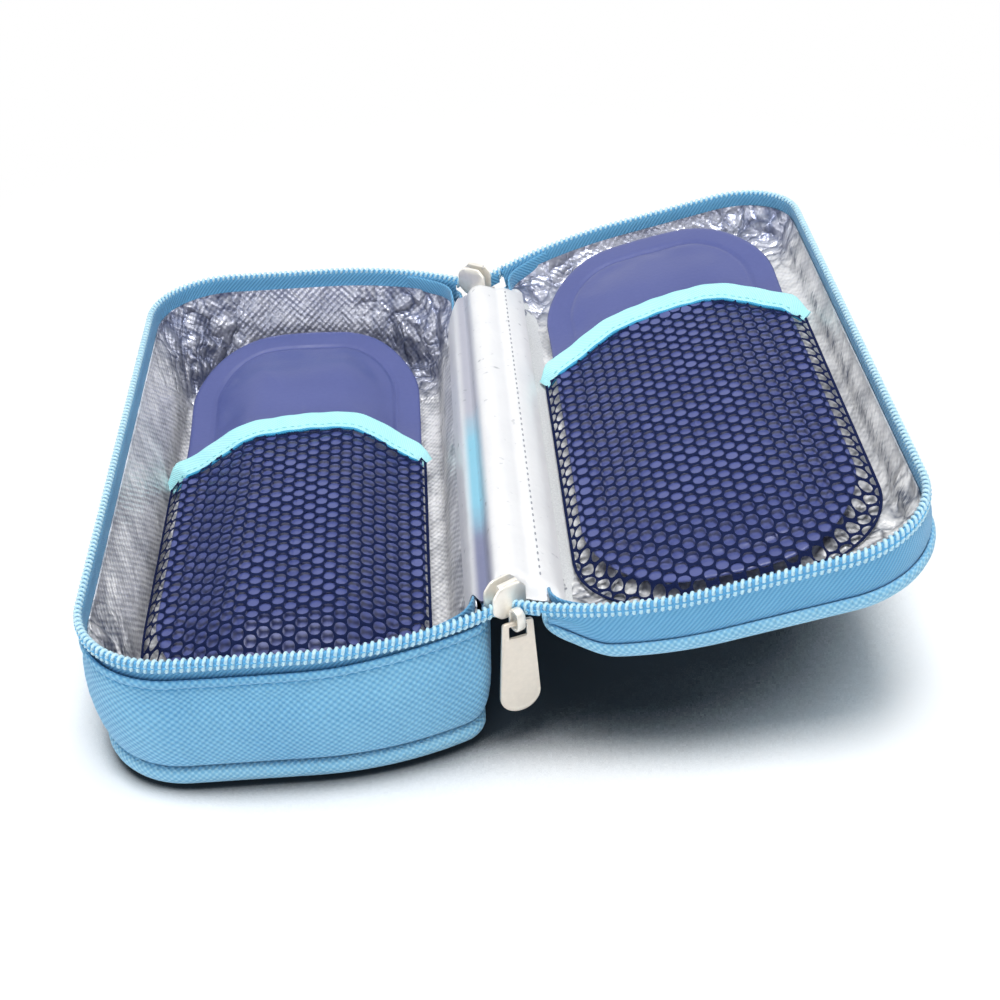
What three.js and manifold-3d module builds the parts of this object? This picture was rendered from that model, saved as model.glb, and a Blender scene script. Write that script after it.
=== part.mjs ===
// Insulin cooling case: two foil-lined cloth trays joined by a cloth spine and closed by a zip,
// shown open. Millimetres; the base stands on z = 0, x runs from the base to the lid, y to the rear.
import * as THREE from "three";
import { mergeVertices } from "three/addons/utils/BufferGeometryUtils.js";
import Module from "manifold-3d";

const wasm = await Module();
wasm.setup();

// Overall shape.
const CASE_WIDTH = 100; // outer side to the hinge line
const CASE_LENGTH = 190;
const BASE_HEIGHT = 42; // floor to the parting plane
const LID_DEPTH = 19; // parting plane to the lid's outer face
const CORNER_RADIUS = 24;
const SWEEP_RADIUS = 86; // the long sides turn in on this radius toward the spine
const SWEEP_LENGTH = 47; // hinge line to where that turn begins
const BASE_HINGE_GAP = 4; // hinge line to the base's spine side
const LID_HINGE_GAP = 6.5; // hinge line to the lid's spine side
const LID_TILT = THREE.MathUtils.degToRad(13); // lid stands this far above level

// Sheet thicknesses and the gap kept between neighbouring pieces.
const CLOTH = 1;
const FOIL = 0.6;
const TAPE = 0.6;
const FIT = 0.3;

// Zip: coil and tape of each half.
const COIL_HEIGHT = 2.8;
const COIL_THICKNESS = 2;
const ZIP_HALF_GAP = 0.6; // coil edge to the parting plane
const TAPE_LEAN_HEIGHT = 1.6; // stretch over which the tape leans out to the coil
const BASE_TAPE_DROP = 4.2; // upright part of the tape behind the hem
const LID_TAPE_DROP = 7.4;
const BASE_COIL_START = 1.2; // hinge line to the ends of the coil, which lie in the sliders
const LID_COIL_START = 8.5;

// Base wall, with a hem along its top and a groove above the bottom panel.
const HEM_TOP = 5.5; // below the parting plane
const HEM_HEIGHT = 3.5;
const HEM_STEP = 0.5;
const HEM_PROUD = 0.4;
const WALL_INSET = 0.6;
const WALL_FOOT_INSET = 2.6;
const GROOVE = 0.4;

// Base bottom panel.
const FOOT_HEIGHT = 7;
const FOOT_INSET = 2.2;
const FOOT_ROUND = 5;

// Base foam and foil lining.
const BASE_FOAM_DEPTH = 7.9;
const FOAM_CHAMFER = 5;
const WALL_FOAM = 4;
const WALL_FOAM_TOP = 10; // below the parting plane
const WALL_FOAM_TOP_INSET = 2;
const LINER_FLARE_DROP = 2; // height of the flare that carries the lining out to the tape
const LINER_LIP = 1.4; // upright lip above the flare
const LINER_ROUND = 2; // rounding where the lining's floor meets its walls

// Lid panel, foam and lining.
const LID_RIM_HEIGHT = 8;
const LID_RIM_INSET = 0.6;
const LID_ROUND = 4;
const LID_FOAM_DEPTH = 4;
const LID_FOAM_WALL = 2.6;
const LID_FOAM_TOP = 9; // below the parting plane
const LID_FOAM_CHAMFER = 4.8;
const LID_SPINE_TOP = 4.8; // below the parting plane

// Cloths that bridge the hinge line.
const SPINE_END_GAP = 3.4; // ends of the spine cloths to the zip sliders
const SPINE_CLOTH = 0.7;
const SPINE_LAP = 1; // cloth's edges below the edges of the walls they are sewn to
const SPINE_FOLD_DEPTH = 6; // how far the loose fold is drawn down between the walls
const RIDGE_RISE = 1.2; // top of the lining ridge above the hinge line

// Gel packs.
const PACK_SPINE_CLEAR = 6.2; // room left round a pack in the tightest tray
const PACK_SIDE_CLEAR = 4.2;
const PACK_END_CLEAR = 6.2;
const PACK_FLANGE = 7;
const PACK_SQUARENESS = 5; // exponent of the rounded outline
const FILM = 0.5;
const BASE_PACK_CROWN = 6.2;
const LID_PACK_CROWN = 2.8;
const PACK_STEPS = [[0, 0], [3, 0.55], [9, 0.87], [17, 0.98]]; // in from the flange, share of the crown
const GEL_EDGE = 2; // gel stops this far inside the flange

// Mesh pockets with a bound mouth.
const NET_SPINE_CLEAR = 3.9; // room left round a net in the tightest tray
const NET_SIDE_CLEAR = 1.5;
const NET_END_CLEAR = 2.2;
const NET_CORNER = 16;
const NET_THICKNESS = 0.8;
const NET_HOLE = 3.9; // hole, centre to corner
const NET_PITCH = 9.6;
const NET_MARGIN = 2.6;
const BASE_POCKET_SIDE = 102; // closed end to the mouth, along the sides and up the middle
const BASE_POCKET_MIDDLE = 115;
const LID_POCKET_SIDE = 111;
const LID_POCKET_MIDDLE = 124;
const BINDING_WIDTH = 6.2;
const BINDING_THICKNESS = 1.4;
const MOUTH_STEPS = 12;

// Zip sliders and their pull tabs.
const SLIDER_LENGTH = 9.4;
const SLIDER_HEIGHT = 9;
const SLIDER_SHOULDER = 4.2; // length of the straight top and bottom edges
const SLIDER_CHEEK = 5; // height of the straight ends
const SLIDER_PLATE = 0.8;
const SLIDER_CLEAR = 0.4; // coil to plate, each side
const POST_LENGTH = 3;
const POST_HEIGHT = 0.6;
const BAIL_WIDTH = 2.2;
const BAIL_DEPTH = 4;
const BAIL_HEIGHT = 6;
const BAIL_WALL = 0.8;
const BAIL_TOP = 0.9; // below the parting plane
const PULL_LENGTH = 27;
const PULL_TOP_WIDTH = 7.2;
const PULL_WIDTH = 9.6;
const PULL_THICKNESS = 0.8;
const PULL_BAR = 1.1;
const PULL_WINDOW_WIDTH = 4.4;
const PULL_WINDOW_HEIGHT = 3.5;
const PULL_TWIST = THREE.MathUtils.degToRad(15); // as the tab hangs in its bail, towards the case's long axis

const ARC_STEPS = 6;
const ROUND_STEPS = 3;
const PACK_POINTS = 24;
const HALF_LENGTH = CASE_LENGTH / 2;
const HINGE_X = CASE_WIDTH / 2;
const COIL_INSET = COIL_THICKNESS / 2; // middle of the coil, in from the outline

const finish = (color, roughness, metalness) => new THREE.MeshStandardMaterial({ color, roughness, metalness });
const CASE_CLOTH = finish(0x79b7dc, 0.85, 0);
const ZIP_TAPE = finish(0x6fa9d0, 0.8, 0);
const ZIP_COIL = finish(0x8cc2e2, 0.55, 0);
const FOAM = finish(0xe9ebee, 0.9, 0);
const FOIL_LINING = finish(0xc6ccd4, 0.35, 0.8);
const WHITE_LINING = finish(0xe6e8ea, 0.6, 0);
const NET = finish(0x1d2544, 0.7, 0);
const BINDING = finish(0x86e2f1, 0.75, 0);
const PACK_FILM = finish(0x5f6aa6, 0.3, 0);
const GEL = finish(0x4c5698, 0.4, 0);
const NICKEL = finish(0xb8b0a2, 0.3, 1);

// Plan outline of a half, drawn in by `inset`: from the spine at `startU` along the front, round the
// outer side and back along the rear. u is measured from the hinge line.
function outline(inset, startU) {
  const radius = SWEEP_RADIUS - inset;
  const sweep = Math.asin((SWEEP_LENGTH - startU) / radius);
  const corner = CORNER_RADIUS - inset;
  const front = [];
  for (let i = 0; i <= ARC_STEPS; i += 1) {
    const angle = sweep * (1 - i / ARC_STEPS);
    front.push([
      SWEEP_LENGTH - radius * Math.sin(angle),
      SWEEP_RADIUS - HALF_LENGTH - radius * Math.cos(angle),
    ]);
  }
  for (let i = 0; i <= ARC_STEPS; i += 1) {
    const angle = (Math.PI / 2) * (i / ARC_STEPS);
    front.push([
      CASE_WIDTH - CORNER_RADIUS + corner * Math.sin(angle),
      CORNER_RADIUS - HALF_LENGTH - corner * Math.cos(angle),
    ]);
  }
  const rear = front.map(([u, v]) => [u, -v]).reverse();
  return front.concat(rear);
}

// Closed ring of points at one height, following the outline of a half on all four sides.
const ring = (gap, inset, height) => outline(inset, gap + inset).map(([u, v]) => [u, v, height]);

function solidFrom(points, triangles) {
  const geometry = new THREE.BufferGeometry();
  geometry.setAttribute("position", new THREE.Float32BufferAttribute(points.flat(), 3));
  let volume = 0;
  const [a, b, c] = [new THREE.Vector3(), new THREE.Vector3(), new THREE.Vector3()];
  for (const [i, j, k] of triangles) {
    a.fromArray(points[i]);
    b.fromArray(points[j]);
    c.fromArray(points[k]);
    volume += a.dot(b.cross(c));
  }
  const outward = volume > 0 ? triangles : triangles.map(([i, j, k]) => [i, k, j]);
  geometry.setIndex(outward.flat());
  geometry.computeVertexNormals();
  return geometry;
}

// Skin of quads between rings of equal length.
function skin(count, size, wrapped) {
  const triangles = [];
  const spans = wrapped ? count : count - 1;
  for (let r = 0; r < spans; r += 1) {
    const next = (r + 1) % count;
    for (let i = 0; i < size; i += 1) {
      const j = (i + 1) % size;
      triangles.push([r * size + i, r * size + j, next * size + j]);
      triangles.push([r * size + i, next * size + j, next * size + i]);
    }
  }
  return triangles;
}

// Band that runs all the way round: the last ring joins the first.
function band(rings) {
  return solidFrom(rings.flat(), skin(rings.length, rings[0].length, true));
}

// Dish or slab: the first and last rings are closed over by a fan to their middles.
function dish(rings) {
  const size = rings[0].length;
  const points = rings.flat();
  const triangles = skin(rings.length, size, false);
  const ends = [[0, rings[0], false], [rings.length - 1, rings.at(-1), true]];
  for (const [row, edge, forward] of ends) {
    const middle = [0, 1, 2].map((axis) => edge.reduce((sum, p) => sum + p[axis], 0) / size);
    const hub = points.push(middle) - 1;
    for (let i = 0; i < size; i += 1) {
      const from = row * size + i;
      const to = row * size + ((i + 1) % size);
      triangles.push(forward ? [from, to, hub] : [to, from, hub]);
    }
  }
  return solidFrom(points, triangles);
}

// Open strip: a closed section carried along a path, with flat ends cut from the section itself.
function strip(sections, flatSection) {
  const size = flatSection.length;
  const triangles = skin(sections.length, size, false);
  const last = (sections.length - 1) * size;
  const contour = flatSection.map(([x, y]) => new THREE.Vector2(x, y));
  const forward = THREE.ShapeUtils.area(contour) > 0;
  for (const face of THREE.ShapeUtils.triangulateShape(contour, [])) {
    const agrees = THREE.ShapeUtils.area(face.map((i) => contour[i])) > 0 === forward;
    const [i, j, k] = agrees ? face : [face[0], face[2], face[1]];
    triangles.push([i, k, j]);
    triangles.push([last + i, last + j, last + k]);
  }
  return solidFrom(sections.flat(), triangles);
}

// Strip that follows the zip: its section is given as points of inset and height.
function zipStrip(startU, section) {
  const paths = section.map(([inset]) => outline(inset, startU));
  const sections = paths[0].map((_, i) => section.map(([, height], k) => [...paths[k][i], height]));
  return strip(sections, section);
}

// A slider waits at each end of the zip, on the hinge line; the spine cloths stop short of it.
const plateInner = COIL_THICKNESS / 2 + SLIDER_CLEAR;
const zipRadius = SWEEP_RADIUS - COIL_INSET;
const sliderAngle = Math.asin(SWEEP_LENGTH / zipRadius);
const sliderY = HALF_LENGTH - SWEEP_RADIUS + zipRadius * Math.cos(sliderAngle);
const sliderDepth = (plateInner + SLIDER_PLATE) * Math.cos(sliderAngle) + SLIDER_LENGTH / 2 * Math.sin(sliderAngle);
const spineHalfLength = sliderY - sliderDepth - SPINE_END_GAP;

const coilTop = -ZIP_HALF_GAP;
const coilFoot = coilTop - COIL_HEIGHT;
const tapeTop = coilFoot - FIT;
const tapeBend = tapeTop - TAPE_LEAN_HEIGHT;

const coilSection = [
  [0, coilFoot],
  [0, coilTop],
  [COIL_THICKNESS, coilTop],
  [COIL_THICKNESS, coilFoot],
];

const tapeSection = (inset, drop) => [
  [inset, tapeBend - drop],
  [inset, tapeBend],
  [COIL_INSET - TAPE / 2, tapeTop],
  [COIL_INSET + TAPE / 2, tapeTop],
  [inset + TAPE, tapeBend],
  [inset + TAPE, tapeBend - drop],
];

// Rounded lower edge of a panel: rings from the flat face up to the upright side.
function roundedEdge(gap, inset, floor, radius) {
  const rings = [];
  for (let i = 0; i <= ROUND_STEPS; i += 1) {
    const angle = (Math.PI / 2) * (i / ROUND_STEPS);
    rings.push(ring(gap, inset + radius * (1 - Math.sin(angle)), floor + radius * (1 - Math.cos(angle))));
  }
  return rings;
}

// Panel with an upright rim: outer face first, then the inner face back to the middle.
function rimmedPanel(gap, inset, floor, rimTop, radius) {
  const outer = roundedEdge(gap, inset, floor, radius);
  const inner = roundedEdge(gap, inset + CLOTH, floor + CLOTH, radius - CLOTH).reverse();
  return dish([...outer, ring(gap, inset, rimTop), ring(gap, inset + CLOTH, rimTop), ...inner]);
}

// Base half, heights measured from the parting plane.
const baseFloor = -BASE_HEIGHT;
const footTop = baseFloor + FOOT_HEIGHT;
const wallFoot = footTop + GROOVE;
const hemFoot = -HEM_TOP - HEM_HEIGHT;
const bottomPanel = rimmedPanel(BASE_HINGE_GAP, FOOT_INSET, baseFloor, footTop, FOOT_ROUND);

const wall = band([
  ring(BASE_HINGE_GAP, WALL_INSET - HEM_PROUD, -HEM_TOP),
  ring(BASE_HINGE_GAP, WALL_INSET - HEM_PROUD, hemFoot),
  ring(BASE_HINGE_GAP, WALL_INSET, hemFoot - HEM_STEP),
  ring(BASE_HINGE_GAP, WALL_FOOT_INSET, wallFoot),
  ring(BASE_HINGE_GAP, WALL_FOOT_INSET + CLOTH, wallFoot),
  ring(BASE_HINGE_GAP, WALL_INSET + CLOTH, hemFoot - HEM_STEP),
  ring(BASE_HINGE_GAP, WALL_INSET + CLOTH, -HEM_TOP),
]);

const foamInset = WALL_FOOT_INSET + CLOTH + FIT;
const foamFloor = baseFloor + CLOTH + FIT;
const foamTop = foamFloor + BASE_FOAM_DEPTH;
const foamBottom = dish([
  ring(BASE_HINGE_GAP, foamInset + FOAM_CHAMFER, foamFloor),
  ring(BASE_HINGE_GAP, foamInset, foamFloor + FOAM_CHAMFER),
  ring(BASE_HINGE_GAP, foamInset, foamTop),
]);

const wallFoamFoot = foamTop + FIT;
const foamWall = band([
  ring(BASE_HINGE_GAP, foamInset, wallFoamFoot),
  ring(BASE_HINGE_GAP, WALL_FOAM_TOP_INSET, -WALL_FOAM_TOP),
  ring(BASE_HINGE_GAP, WALL_FOAM_TOP_INSET + WALL_FOAM, -WALL_FOAM_TOP),
  ring(BASE_HINGE_GAP, foamInset + WALL_FOAM, wallFoamFoot),
]);

// Foil tray: floor, walls, and a flare at the top that carries it out to the tape.
function foilTray(gap, floor, footInset, flareInset, flareFoot, lipInset) {
  const flareTop = flareFoot + LINER_FLARE_DROP;
  const lipTop = flareTop + LINER_LIP;
  return dish([
    ring(gap, footInset + LINER_ROUND, floor),
    ring(gap, footInset, floor + LINER_ROUND),
    ring(gap, flareInset, flareFoot),
    ring(gap, lipInset, flareTop),
    ring(gap, lipInset, lipTop),
    ring(gap, lipInset + FOIL, lipTop),
    ring(gap, lipInset + FOIL, flareTop - FOIL / 2),
    ring(gap, flareInset + FOIL, flareFoot - FOIL / 2),
    ring(gap, footInset + FOIL, floor + LINER_ROUND),
    ring(gap, footInset + LINER_ROUND + FOIL / 2, floor + FOIL),
  ]);
}

const baseTapeInset = WALL_INSET + CLOTH + FIT;
const baseTape = zipStrip(BASE_HINGE_GAP + baseTapeInset, tapeSection(baseTapeInset, BASE_TAPE_DROP));
const baseLinerFloor = wallFoamFoot;
const baseFlare = [WALL_FOAM_TOP_INSET + WALL_FOAM + FIT, FIT - WALL_FOAM_TOP, baseTapeInset + TAPE + FIT];
const baseLiner = foilTray(BASE_HINGE_GAP, baseLinerFloor, foamInset + WALL_FOAM + FIT, ...baseFlare);

// Lid half, heights measured from the parting plane.
const lidFloor = -LID_DEPTH;
const lidRimTop = lidFloor + LID_RIM_HEIGHT;
const lidTapeInset = LID_RIM_INSET + CLOTH + FIT;
const lidTape = zipStrip(LID_HINGE_GAP + lidTapeInset, tapeSection(lidTapeInset, LID_TAPE_DROP));
const lidPanel = rimmedPanel(LID_HINGE_GAP, LID_RIM_INSET, lidFloor, lidRimTop, LID_ROUND);

const lidFoamInset = lidTapeInset + TAPE + FIT;
const lidFoamFloor = lidFloor + CLOTH + FIT;
const lidFoamFace = lidFoamFloor + LID_FOAM_DEPTH;
const lidFoam = dish([
  ring(LID_HINGE_GAP, lidFoamInset + LID_FOAM_CHAMFER, lidFoamFloor),
  ring(LID_HINGE_GAP, lidFoamInset, lidFoamFloor + LID_FOAM_CHAMFER),
  ring(LID_HINGE_GAP, lidFoamInset, -LID_FOAM_TOP),
  ring(LID_HINGE_GAP, lidFoamInset + LID_FOAM_WALL, -LID_FOAM_TOP),
  ring(LID_HINGE_GAP, lidFoamInset + LID_FOAM_WALL, lidFoamFace),
]);

const lidLinerFloor = lidFoamFace + FIT;
const lidLinerInset = lidFoamInset + LID_FOAM_WALL + FIT;
const lidFlare = [lidLinerInset, FIT - LID_FOAM_TOP, lidFoamInset];
const lidLiner = foilTray(LID_HINGE_GAP, lidLinerFloor, lidLinerInset, ...lidFlare);

const lidSpineHeight = -LID_SPINE_TOP - lidRimTop - FIT;
const lidSpineWall = new THREE.BoxGeometry(CLOTH, 2 * spineHalfLength, lidSpineHeight);
lidSpineWall.translate(LID_HINGE_GAP + LID_RIM_INSET + CLOTH / 2, 0, -LID_SPINE_TOP - lidSpineHeight / 2);

// Cloth of even thickness laid along a curve in the x-z plane and drawn out along y.
function bridge(curvePoints, thickness, halfLength) {
  const count = curvePoints.length;
  const offset = (i, side) => {
    const before = curvePoints[Math.max(i - 1, 0)];
    const after = curvePoints[Math.min(i + 1, count - 1)];
    const along = after.clone().sub(before).normalize();
    return [curvePoints[i].x - along.y * side * thickness / 2, curvePoints[i].y + along.x * side * thickness / 2];
  };
  const upper = curvePoints.map((_, i) => offset(i, 1));
  const lower = curvePoints.map((_, i) => offset(i, -1)).reverse();
  const section = upper.concat(lower);
  const sections = [-halfLength, halfLength].map((y) => section.map(([x, z]) => [x, y, z]));
  return strip(sections, section);
}

// The outer cloth hangs in a loose fold between the outer faces of the two spine walls.
const origin = new THREE.Vector2();
const baseSeam = -(BASE_HINGE_GAP + WALL_INSET - HEM_PROUD - FIT - SPINE_CLOTH / 2);
const lidSeam = LID_HINGE_GAP + LID_RIM_INSET - FIT - SPINE_CLOTH / 2;
const fold = new THREE.CubicBezierCurve(
  new THREE.Vector2(baseSeam, -HEM_TOP - SPINE_LAP),
  new THREE.Vector2(baseSeam, -HEM_TOP - SPINE_LAP - SPINE_FOLD_DEPTH),
  new THREE.Vector2(lidSeam, -LID_SPINE_TOP - SPINE_LAP - SPINE_FOLD_DEPTH).rotateAround(origin, LID_TILT),
  new THREE.Vector2(lidSeam, -LID_SPINE_TOP - SPINE_LAP).rotateAround(origin, LID_TILT),
);
const spineCloth = bridge(fold.getPoints(ARC_STEPS), SPINE_CLOTH, spineHalfLength);

// The lining ridge runs from the flare of one tray over the hinge line to the flare of the other.
function ridgeFoot(gap, flareInset, flareFoot, lipInset) {
  const run = flareInset - lipInset;
  const slope = Math.hypot(run, LINER_FLARE_DROP) / run;
  const lipTop = flareFoot + LINER_FLARE_DROP + LINER_LIP;
  return [
    new THREE.Vector2(gap + flareInset + FOIL, flareFoot - FOIL / 2 + slope * (FIT + FOIL / 2)),
    new THREE.Vector2(gap + lipInset + FOIL, lipTop + FOIL / 2 + 2 * FIT),
  ];
}
const mirrored = ({ x, y }) => new THREE.Vector2(-x, y);
const tilted = (point) => point.rotateAround(origin, LID_TILT);
const [baseFootPoint, baseLipPoint] = ridgeFoot(BASE_HINGE_GAP, ...baseFlare).map(mirrored);
const [lidFootPoint, lidLipPoint] = ridgeFoot(LID_HINGE_GAP, ...lidFlare).map(tilted);
const ridge = new THREE.SplineCurve([
  baseFootPoint,
  baseLipPoint,
  new THREE.Vector2(0, RIDGE_RISE),
  lidLipPoint,
  lidFootPoint,
]);
const spineLiner = bridge(ridge.getPoints(2 * ARC_STEPS), FOIL, spineHalfLength);

// One size of pack and net for both trays, set by the tighter tray on each side.
const baseTrayInset = foamInset + WALL_FOAM + FIT + FOIL;
const lidTrayInset = lidLinerInset + FOIL;
const traySpine = Math.max(BASE_HINGE_GAP + baseTrayInset, LID_HINGE_GAP + lidTrayInset);
const traySide = CASE_WIDTH - Math.max(baseTrayInset, lidTrayInset);
const trayEnd = HALF_LENGTH - Math.max(baseTrayInset, lidTrayInset);
const packWidth = traySide - PACK_SIDE_CLEAR - traySpine - PACK_SPINE_CLEAR;
const packLength = 2 * (trayEnd - PACK_END_CLEAR);
const packU = traySpine + PACK_SPINE_CLEAR + packWidth / 2;
const netWidth = traySide - NET_SIDE_CLEAR - traySpine - NET_SPINE_CLEAR;
const netU = traySpine + NET_SPINE_CLEAR + netWidth / 2;
const netFront = NET_END_CLEAR - trayEnd;

// Rounded-square outline of a pack, drawn in by `inset`.
function packRing(inset, height) {
  const points = [];
  const power = 2 / PACK_SQUARENESS;
  for (let i = 0; i < PACK_POINTS; i += 1) {
    const angle = (2 * Math.PI * (i + 1 / 2)) / PACK_POINTS;
    const [c, s] = [Math.cos(angle), Math.sin(angle)];
    points.push([
      (packWidth / 2 - inset) * Math.sign(c) * Math.abs(c) ** power,
      (packLength / 2 - inset) * Math.sign(s) * Math.abs(s) ** power,
      height,
    ]);
  }
  return points;
}

// One film of a pack: a flat sealed flange round a raised panel. The seal lies at height 0.
function packFilm(crown) {
  const seat = FIT / 2;
  const under = PACK_STEPS.map(([step, share]) => packRing(PACK_FLANGE + step, seat + crown * share));
  const over = PACK_STEPS.map(([step, share]) => packRing(PACK_FLANGE + step, seat + FILM + crown * share));
  return dish([...under.reverse(), packRing(0, seat), packRing(0, seat + FILM), ...over]);
}

function packGel(crown) {
  const steps = PACK_STEPS.slice(1);
  const upper = steps.map(([step, share]) => packRing(PACK_FLANGE + step + FIT, crown * share - FIT));
  const lower = steps.map(([step, share]) => packRing(PACK_FLANGE + step + FIT, FIT - crown * share));
  return dish([...lower.reverse(), packRing(PACK_FLANGE + GEL_EDGE, 0), ...upper]);
}

const mouthY = (mouth, u) => mouth.middle - (mouth.middle - mouth.side) * ((u - netU) / (netWidth / 2)) ** 2;

function mouthPoints(mouth, drop) {
  const points = [];
  for (let i = 0; i <= MOUTH_STEPS; i += 1) {
    const u = netU + netWidth * (i / MOUTH_STEPS - 1 / 2);
    points.push(new THREE.Vector2(u, mouthY(mouth, u) - drop));
  }
  return points;
}

function netHoles(mouth) {
  const holes = [];
  const row = NET_PITCH * Math.sin(Math.PI / 3);
  const reach = NET_HOLE + NET_MARGIN;
  const columns = Math.floor((netWidth - 2 * reach) / NET_PITCH);
  const cornerU = netWidth / 2 - NET_CORNER;
  for (let r = 0; netFront + reach + r * row < mouth.middle; r += 1) {
    const y = netFront + reach + r * row;
    for (let c = 0; c <= columns; c += 1) {
      const u = NET_PITCH * (c - columns / 2 + (r % 2 ? 1 / 2 : 0));
      const overU = Math.max(0, Math.abs(u) - cornerU);
      const overY = Math.max(0, netFront + NET_CORNER - y);
      const inCorner = Math.hypot(overU, overY) <= NET_CORNER - reach;
      const inMouth = y <= mouthY(mouth, netU + Math.abs(u) + NET_HOLE) - BINDING_WIDTH - reach;
      if (inCorner && inMouth && Math.abs(u) <= netWidth / 2 - reach) {
        holes.push(new THREE.Vector2(netU + u, y));
      }
    }
  }
  return holes;
}

// Net stretched flat over the crown of the pack, open at the rear.
function pocketNet(mouth) {
  const [left, right] = [netU - netWidth / 2, netU + netWidth / 2];
  const shape = new THREE.Shape();
  shape.moveTo(left, mouth.side);
  shape.lineTo(left, netFront + NET_CORNER);
  shape.absarc(left + NET_CORNER, netFront + NET_CORNER, NET_CORNER, Math.PI, 1.5 * Math.PI, false);
  shape.absarc(right - NET_CORNER, netFront + NET_CORNER, NET_CORNER, 1.5 * Math.PI, 2 * Math.PI, false);
  mouthPoints(mouth, 0).reverse().forEach((p) => shape.lineTo(p.x, p.y));
  for (const centre of netHoles(mouth)) {
    const hole = new THREE.Path();
    for (let i = 0; i < 6; i += 1) {
      const angle = (Math.PI / 3) * (i + 1 / 2);
      const [u, y] = [centre.x + NET_HOLE * Math.cos(angle), centre.y + NET_HOLE * Math.sin(angle)];
      if (i === 0) {
        hole.moveTo(u, y);
      } else {
        hole.lineTo(u, y);
      }
    }
    shape.holes.push(hole);
  }
  return new THREE.ExtrudeGeometry(shape, {
    depth: NET_THICKNESS,
    bevelEnabled: false,
    curveSegments: ROUND_STEPS,
  });
}

function mouthBinding(mouth) {
  const edge = mouthPoints(mouth, 0).concat(mouthPoints(mouth, BINDING_WIDTH).reverse());
  return new THREE.ExtrudeGeometry(new THREE.Shape(edge), { depth: BINDING_THICKNESS, bevelEnabled: false });
}

// Zip slider: x along the zip, y inwards, z up, middle of the coil at the origin.
const asSolid = (geometry) => {
  geometry.deleteAttribute("normal");
  geometry.deleteAttribute("uv");
  const welded = mergeVertices(geometry);
  return new wasm.Manifold(new wasm.Mesh({
    numProp: 3,
    vertProperties: Float32Array.from(welded.attributes.position.array),
    triVerts: Uint32Array.from(welded.index.array),
  }));
};

function asGeometry(solid) {
  const mesh = solid.getMesh();
  const geometry = new THREE.BufferGeometry();
  geometry.setAttribute("position", new THREE.Float32BufferAttribute(mesh.vertProperties, 3));
  geometry.setIndex(Array.from(mesh.triVerts));
  geometry.computeVertexNormals();
  return geometry;
}

function sliderBody() {
  const outlinePoints = [
    [-SLIDER_LENGTH / 2, -SLIDER_CHEEK / 2],
    [-SLIDER_SHOULDER / 2, -SLIDER_HEIGHT / 2],
    [SLIDER_SHOULDER / 2, -SLIDER_HEIGHT / 2],
    [SLIDER_LENGTH / 2, -SLIDER_CHEEK / 2],
    [SLIDER_LENGTH / 2, SLIDER_CHEEK / 2],
    [SLIDER_SHOULDER / 2, SLIDER_HEIGHT / 2],
    [-SLIDER_SHOULDER / 2, SLIDER_HEIGHT / 2],
    [-SLIDER_LENGTH / 2, SLIDER_CHEEK / 2],
  ];
  const plateShape = new THREE.Shape(outlinePoints.map(([x, z]) => new THREE.Vector2(x, z)));
  const plate = (y) => {
    const geometry = new THREE.ExtrudeGeometry(plateShape, { depth: SLIDER_PLATE, bevelEnabled: false });
    geometry.rotateX(Math.PI / 2);
    geometry.translate(0, y, 0);
    return asSolid(geometry);
  };
  const post = asSolid(new THREE.BoxGeometry(POST_LENGTH, 2 * plateInner + SLIDER_PLATE, POST_HEIGHT));
  return asGeometry(plate(-plateInner).add(plate(plateInner + SLIDER_PLATE)).add(post));
}

const bailOuter = BAIL_DEPTH / 2;
const bailY = -(plateInner + SLIDER_PLATE + FIT + bailOuter);
const bailLow = bailOuter - BAIL_TOP - BAIL_HEIGHT; // pull tab's axis, below the parting plane
const bailHigh = -BAIL_TOP - bailOuter;

function stadium(path, radius) {
  path.absarc(bailY, bailHigh, radius, 0, Math.PI, false);
  path.absarc(bailY, bailLow, radius, Math.PI, 2 * Math.PI, false);
  return path;
}

function sliderBail() {
  const shape = stadium(new THREE.Shape(), bailOuter);
  shape.holes.push(stadium(new THREE.Path(), bailOuter - BAIL_WALL));
  const geometry = new THREE.ExtrudeGeometry(shape, {
    depth: BAIL_WIDTH,
    bevelEnabled: false,
    curveSegments: ARC_STEPS,
  });
  const axes = [new THREE.Vector3(0, 1, 0), new THREE.Vector3(0, 0, 1), new THREE.Vector3(1, 0, 0)];
  geometry.applyMatrix4(new THREE.Matrix4().makeBasis(...axes));
  geometry.translate(-BAIL_WIDTH / 2, 0, 0);
  return geometry;
}

function pullTab() {
  const top = PULL_BAR / 2;
  const round = PULL_WIDTH / 2;
  const shape = new THREE.Shape();
  shape.moveTo(PULL_TOP_WIDTH / 2, top);
  shape.lineTo(-PULL_TOP_WIDTH / 2, top);
  shape.lineTo(-round, top - PULL_LENGTH + round);
  shape.absarc(0, top - PULL_LENGTH + round, round, Math.PI, 2 * Math.PI, false);
  const window = new THREE.Path();
  window.moveTo(-PULL_WINDOW_WIDTH / 2, -top);
  window.lineTo(PULL_WINDOW_WIDTH / 2, -top);
  window.lineTo(PULL_WINDOW_WIDTH / 2, -top - PULL_WINDOW_HEIGHT);
  window.lineTo(-PULL_WINDOW_WIDTH / 2, -top - PULL_WINDOW_HEIGHT);
  shape.holes.push(window);
  const geometry = new THREE.ExtrudeGeometry(shape, {
    depth: PULL_THICKNESS,
    bevelEnabled: false,
    curveSegments: ARC_STEPS,
  });
  geometry.rotateX(Math.PI / 2);
  geometry.translate(0, PULL_THICKNESS / 2, 0);
  return geometry;
}

const part = new THREE.Group();
part.name = "insulin_cooling_case";

function place(group, name, geometry, material, x, y, z) {
  const mesh = new THREE.Mesh(geometry, material);
  mesh.name = name;
  mesh.position.set(x, y, z);
  group.add(mesh);
  return mesh;
}

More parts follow.
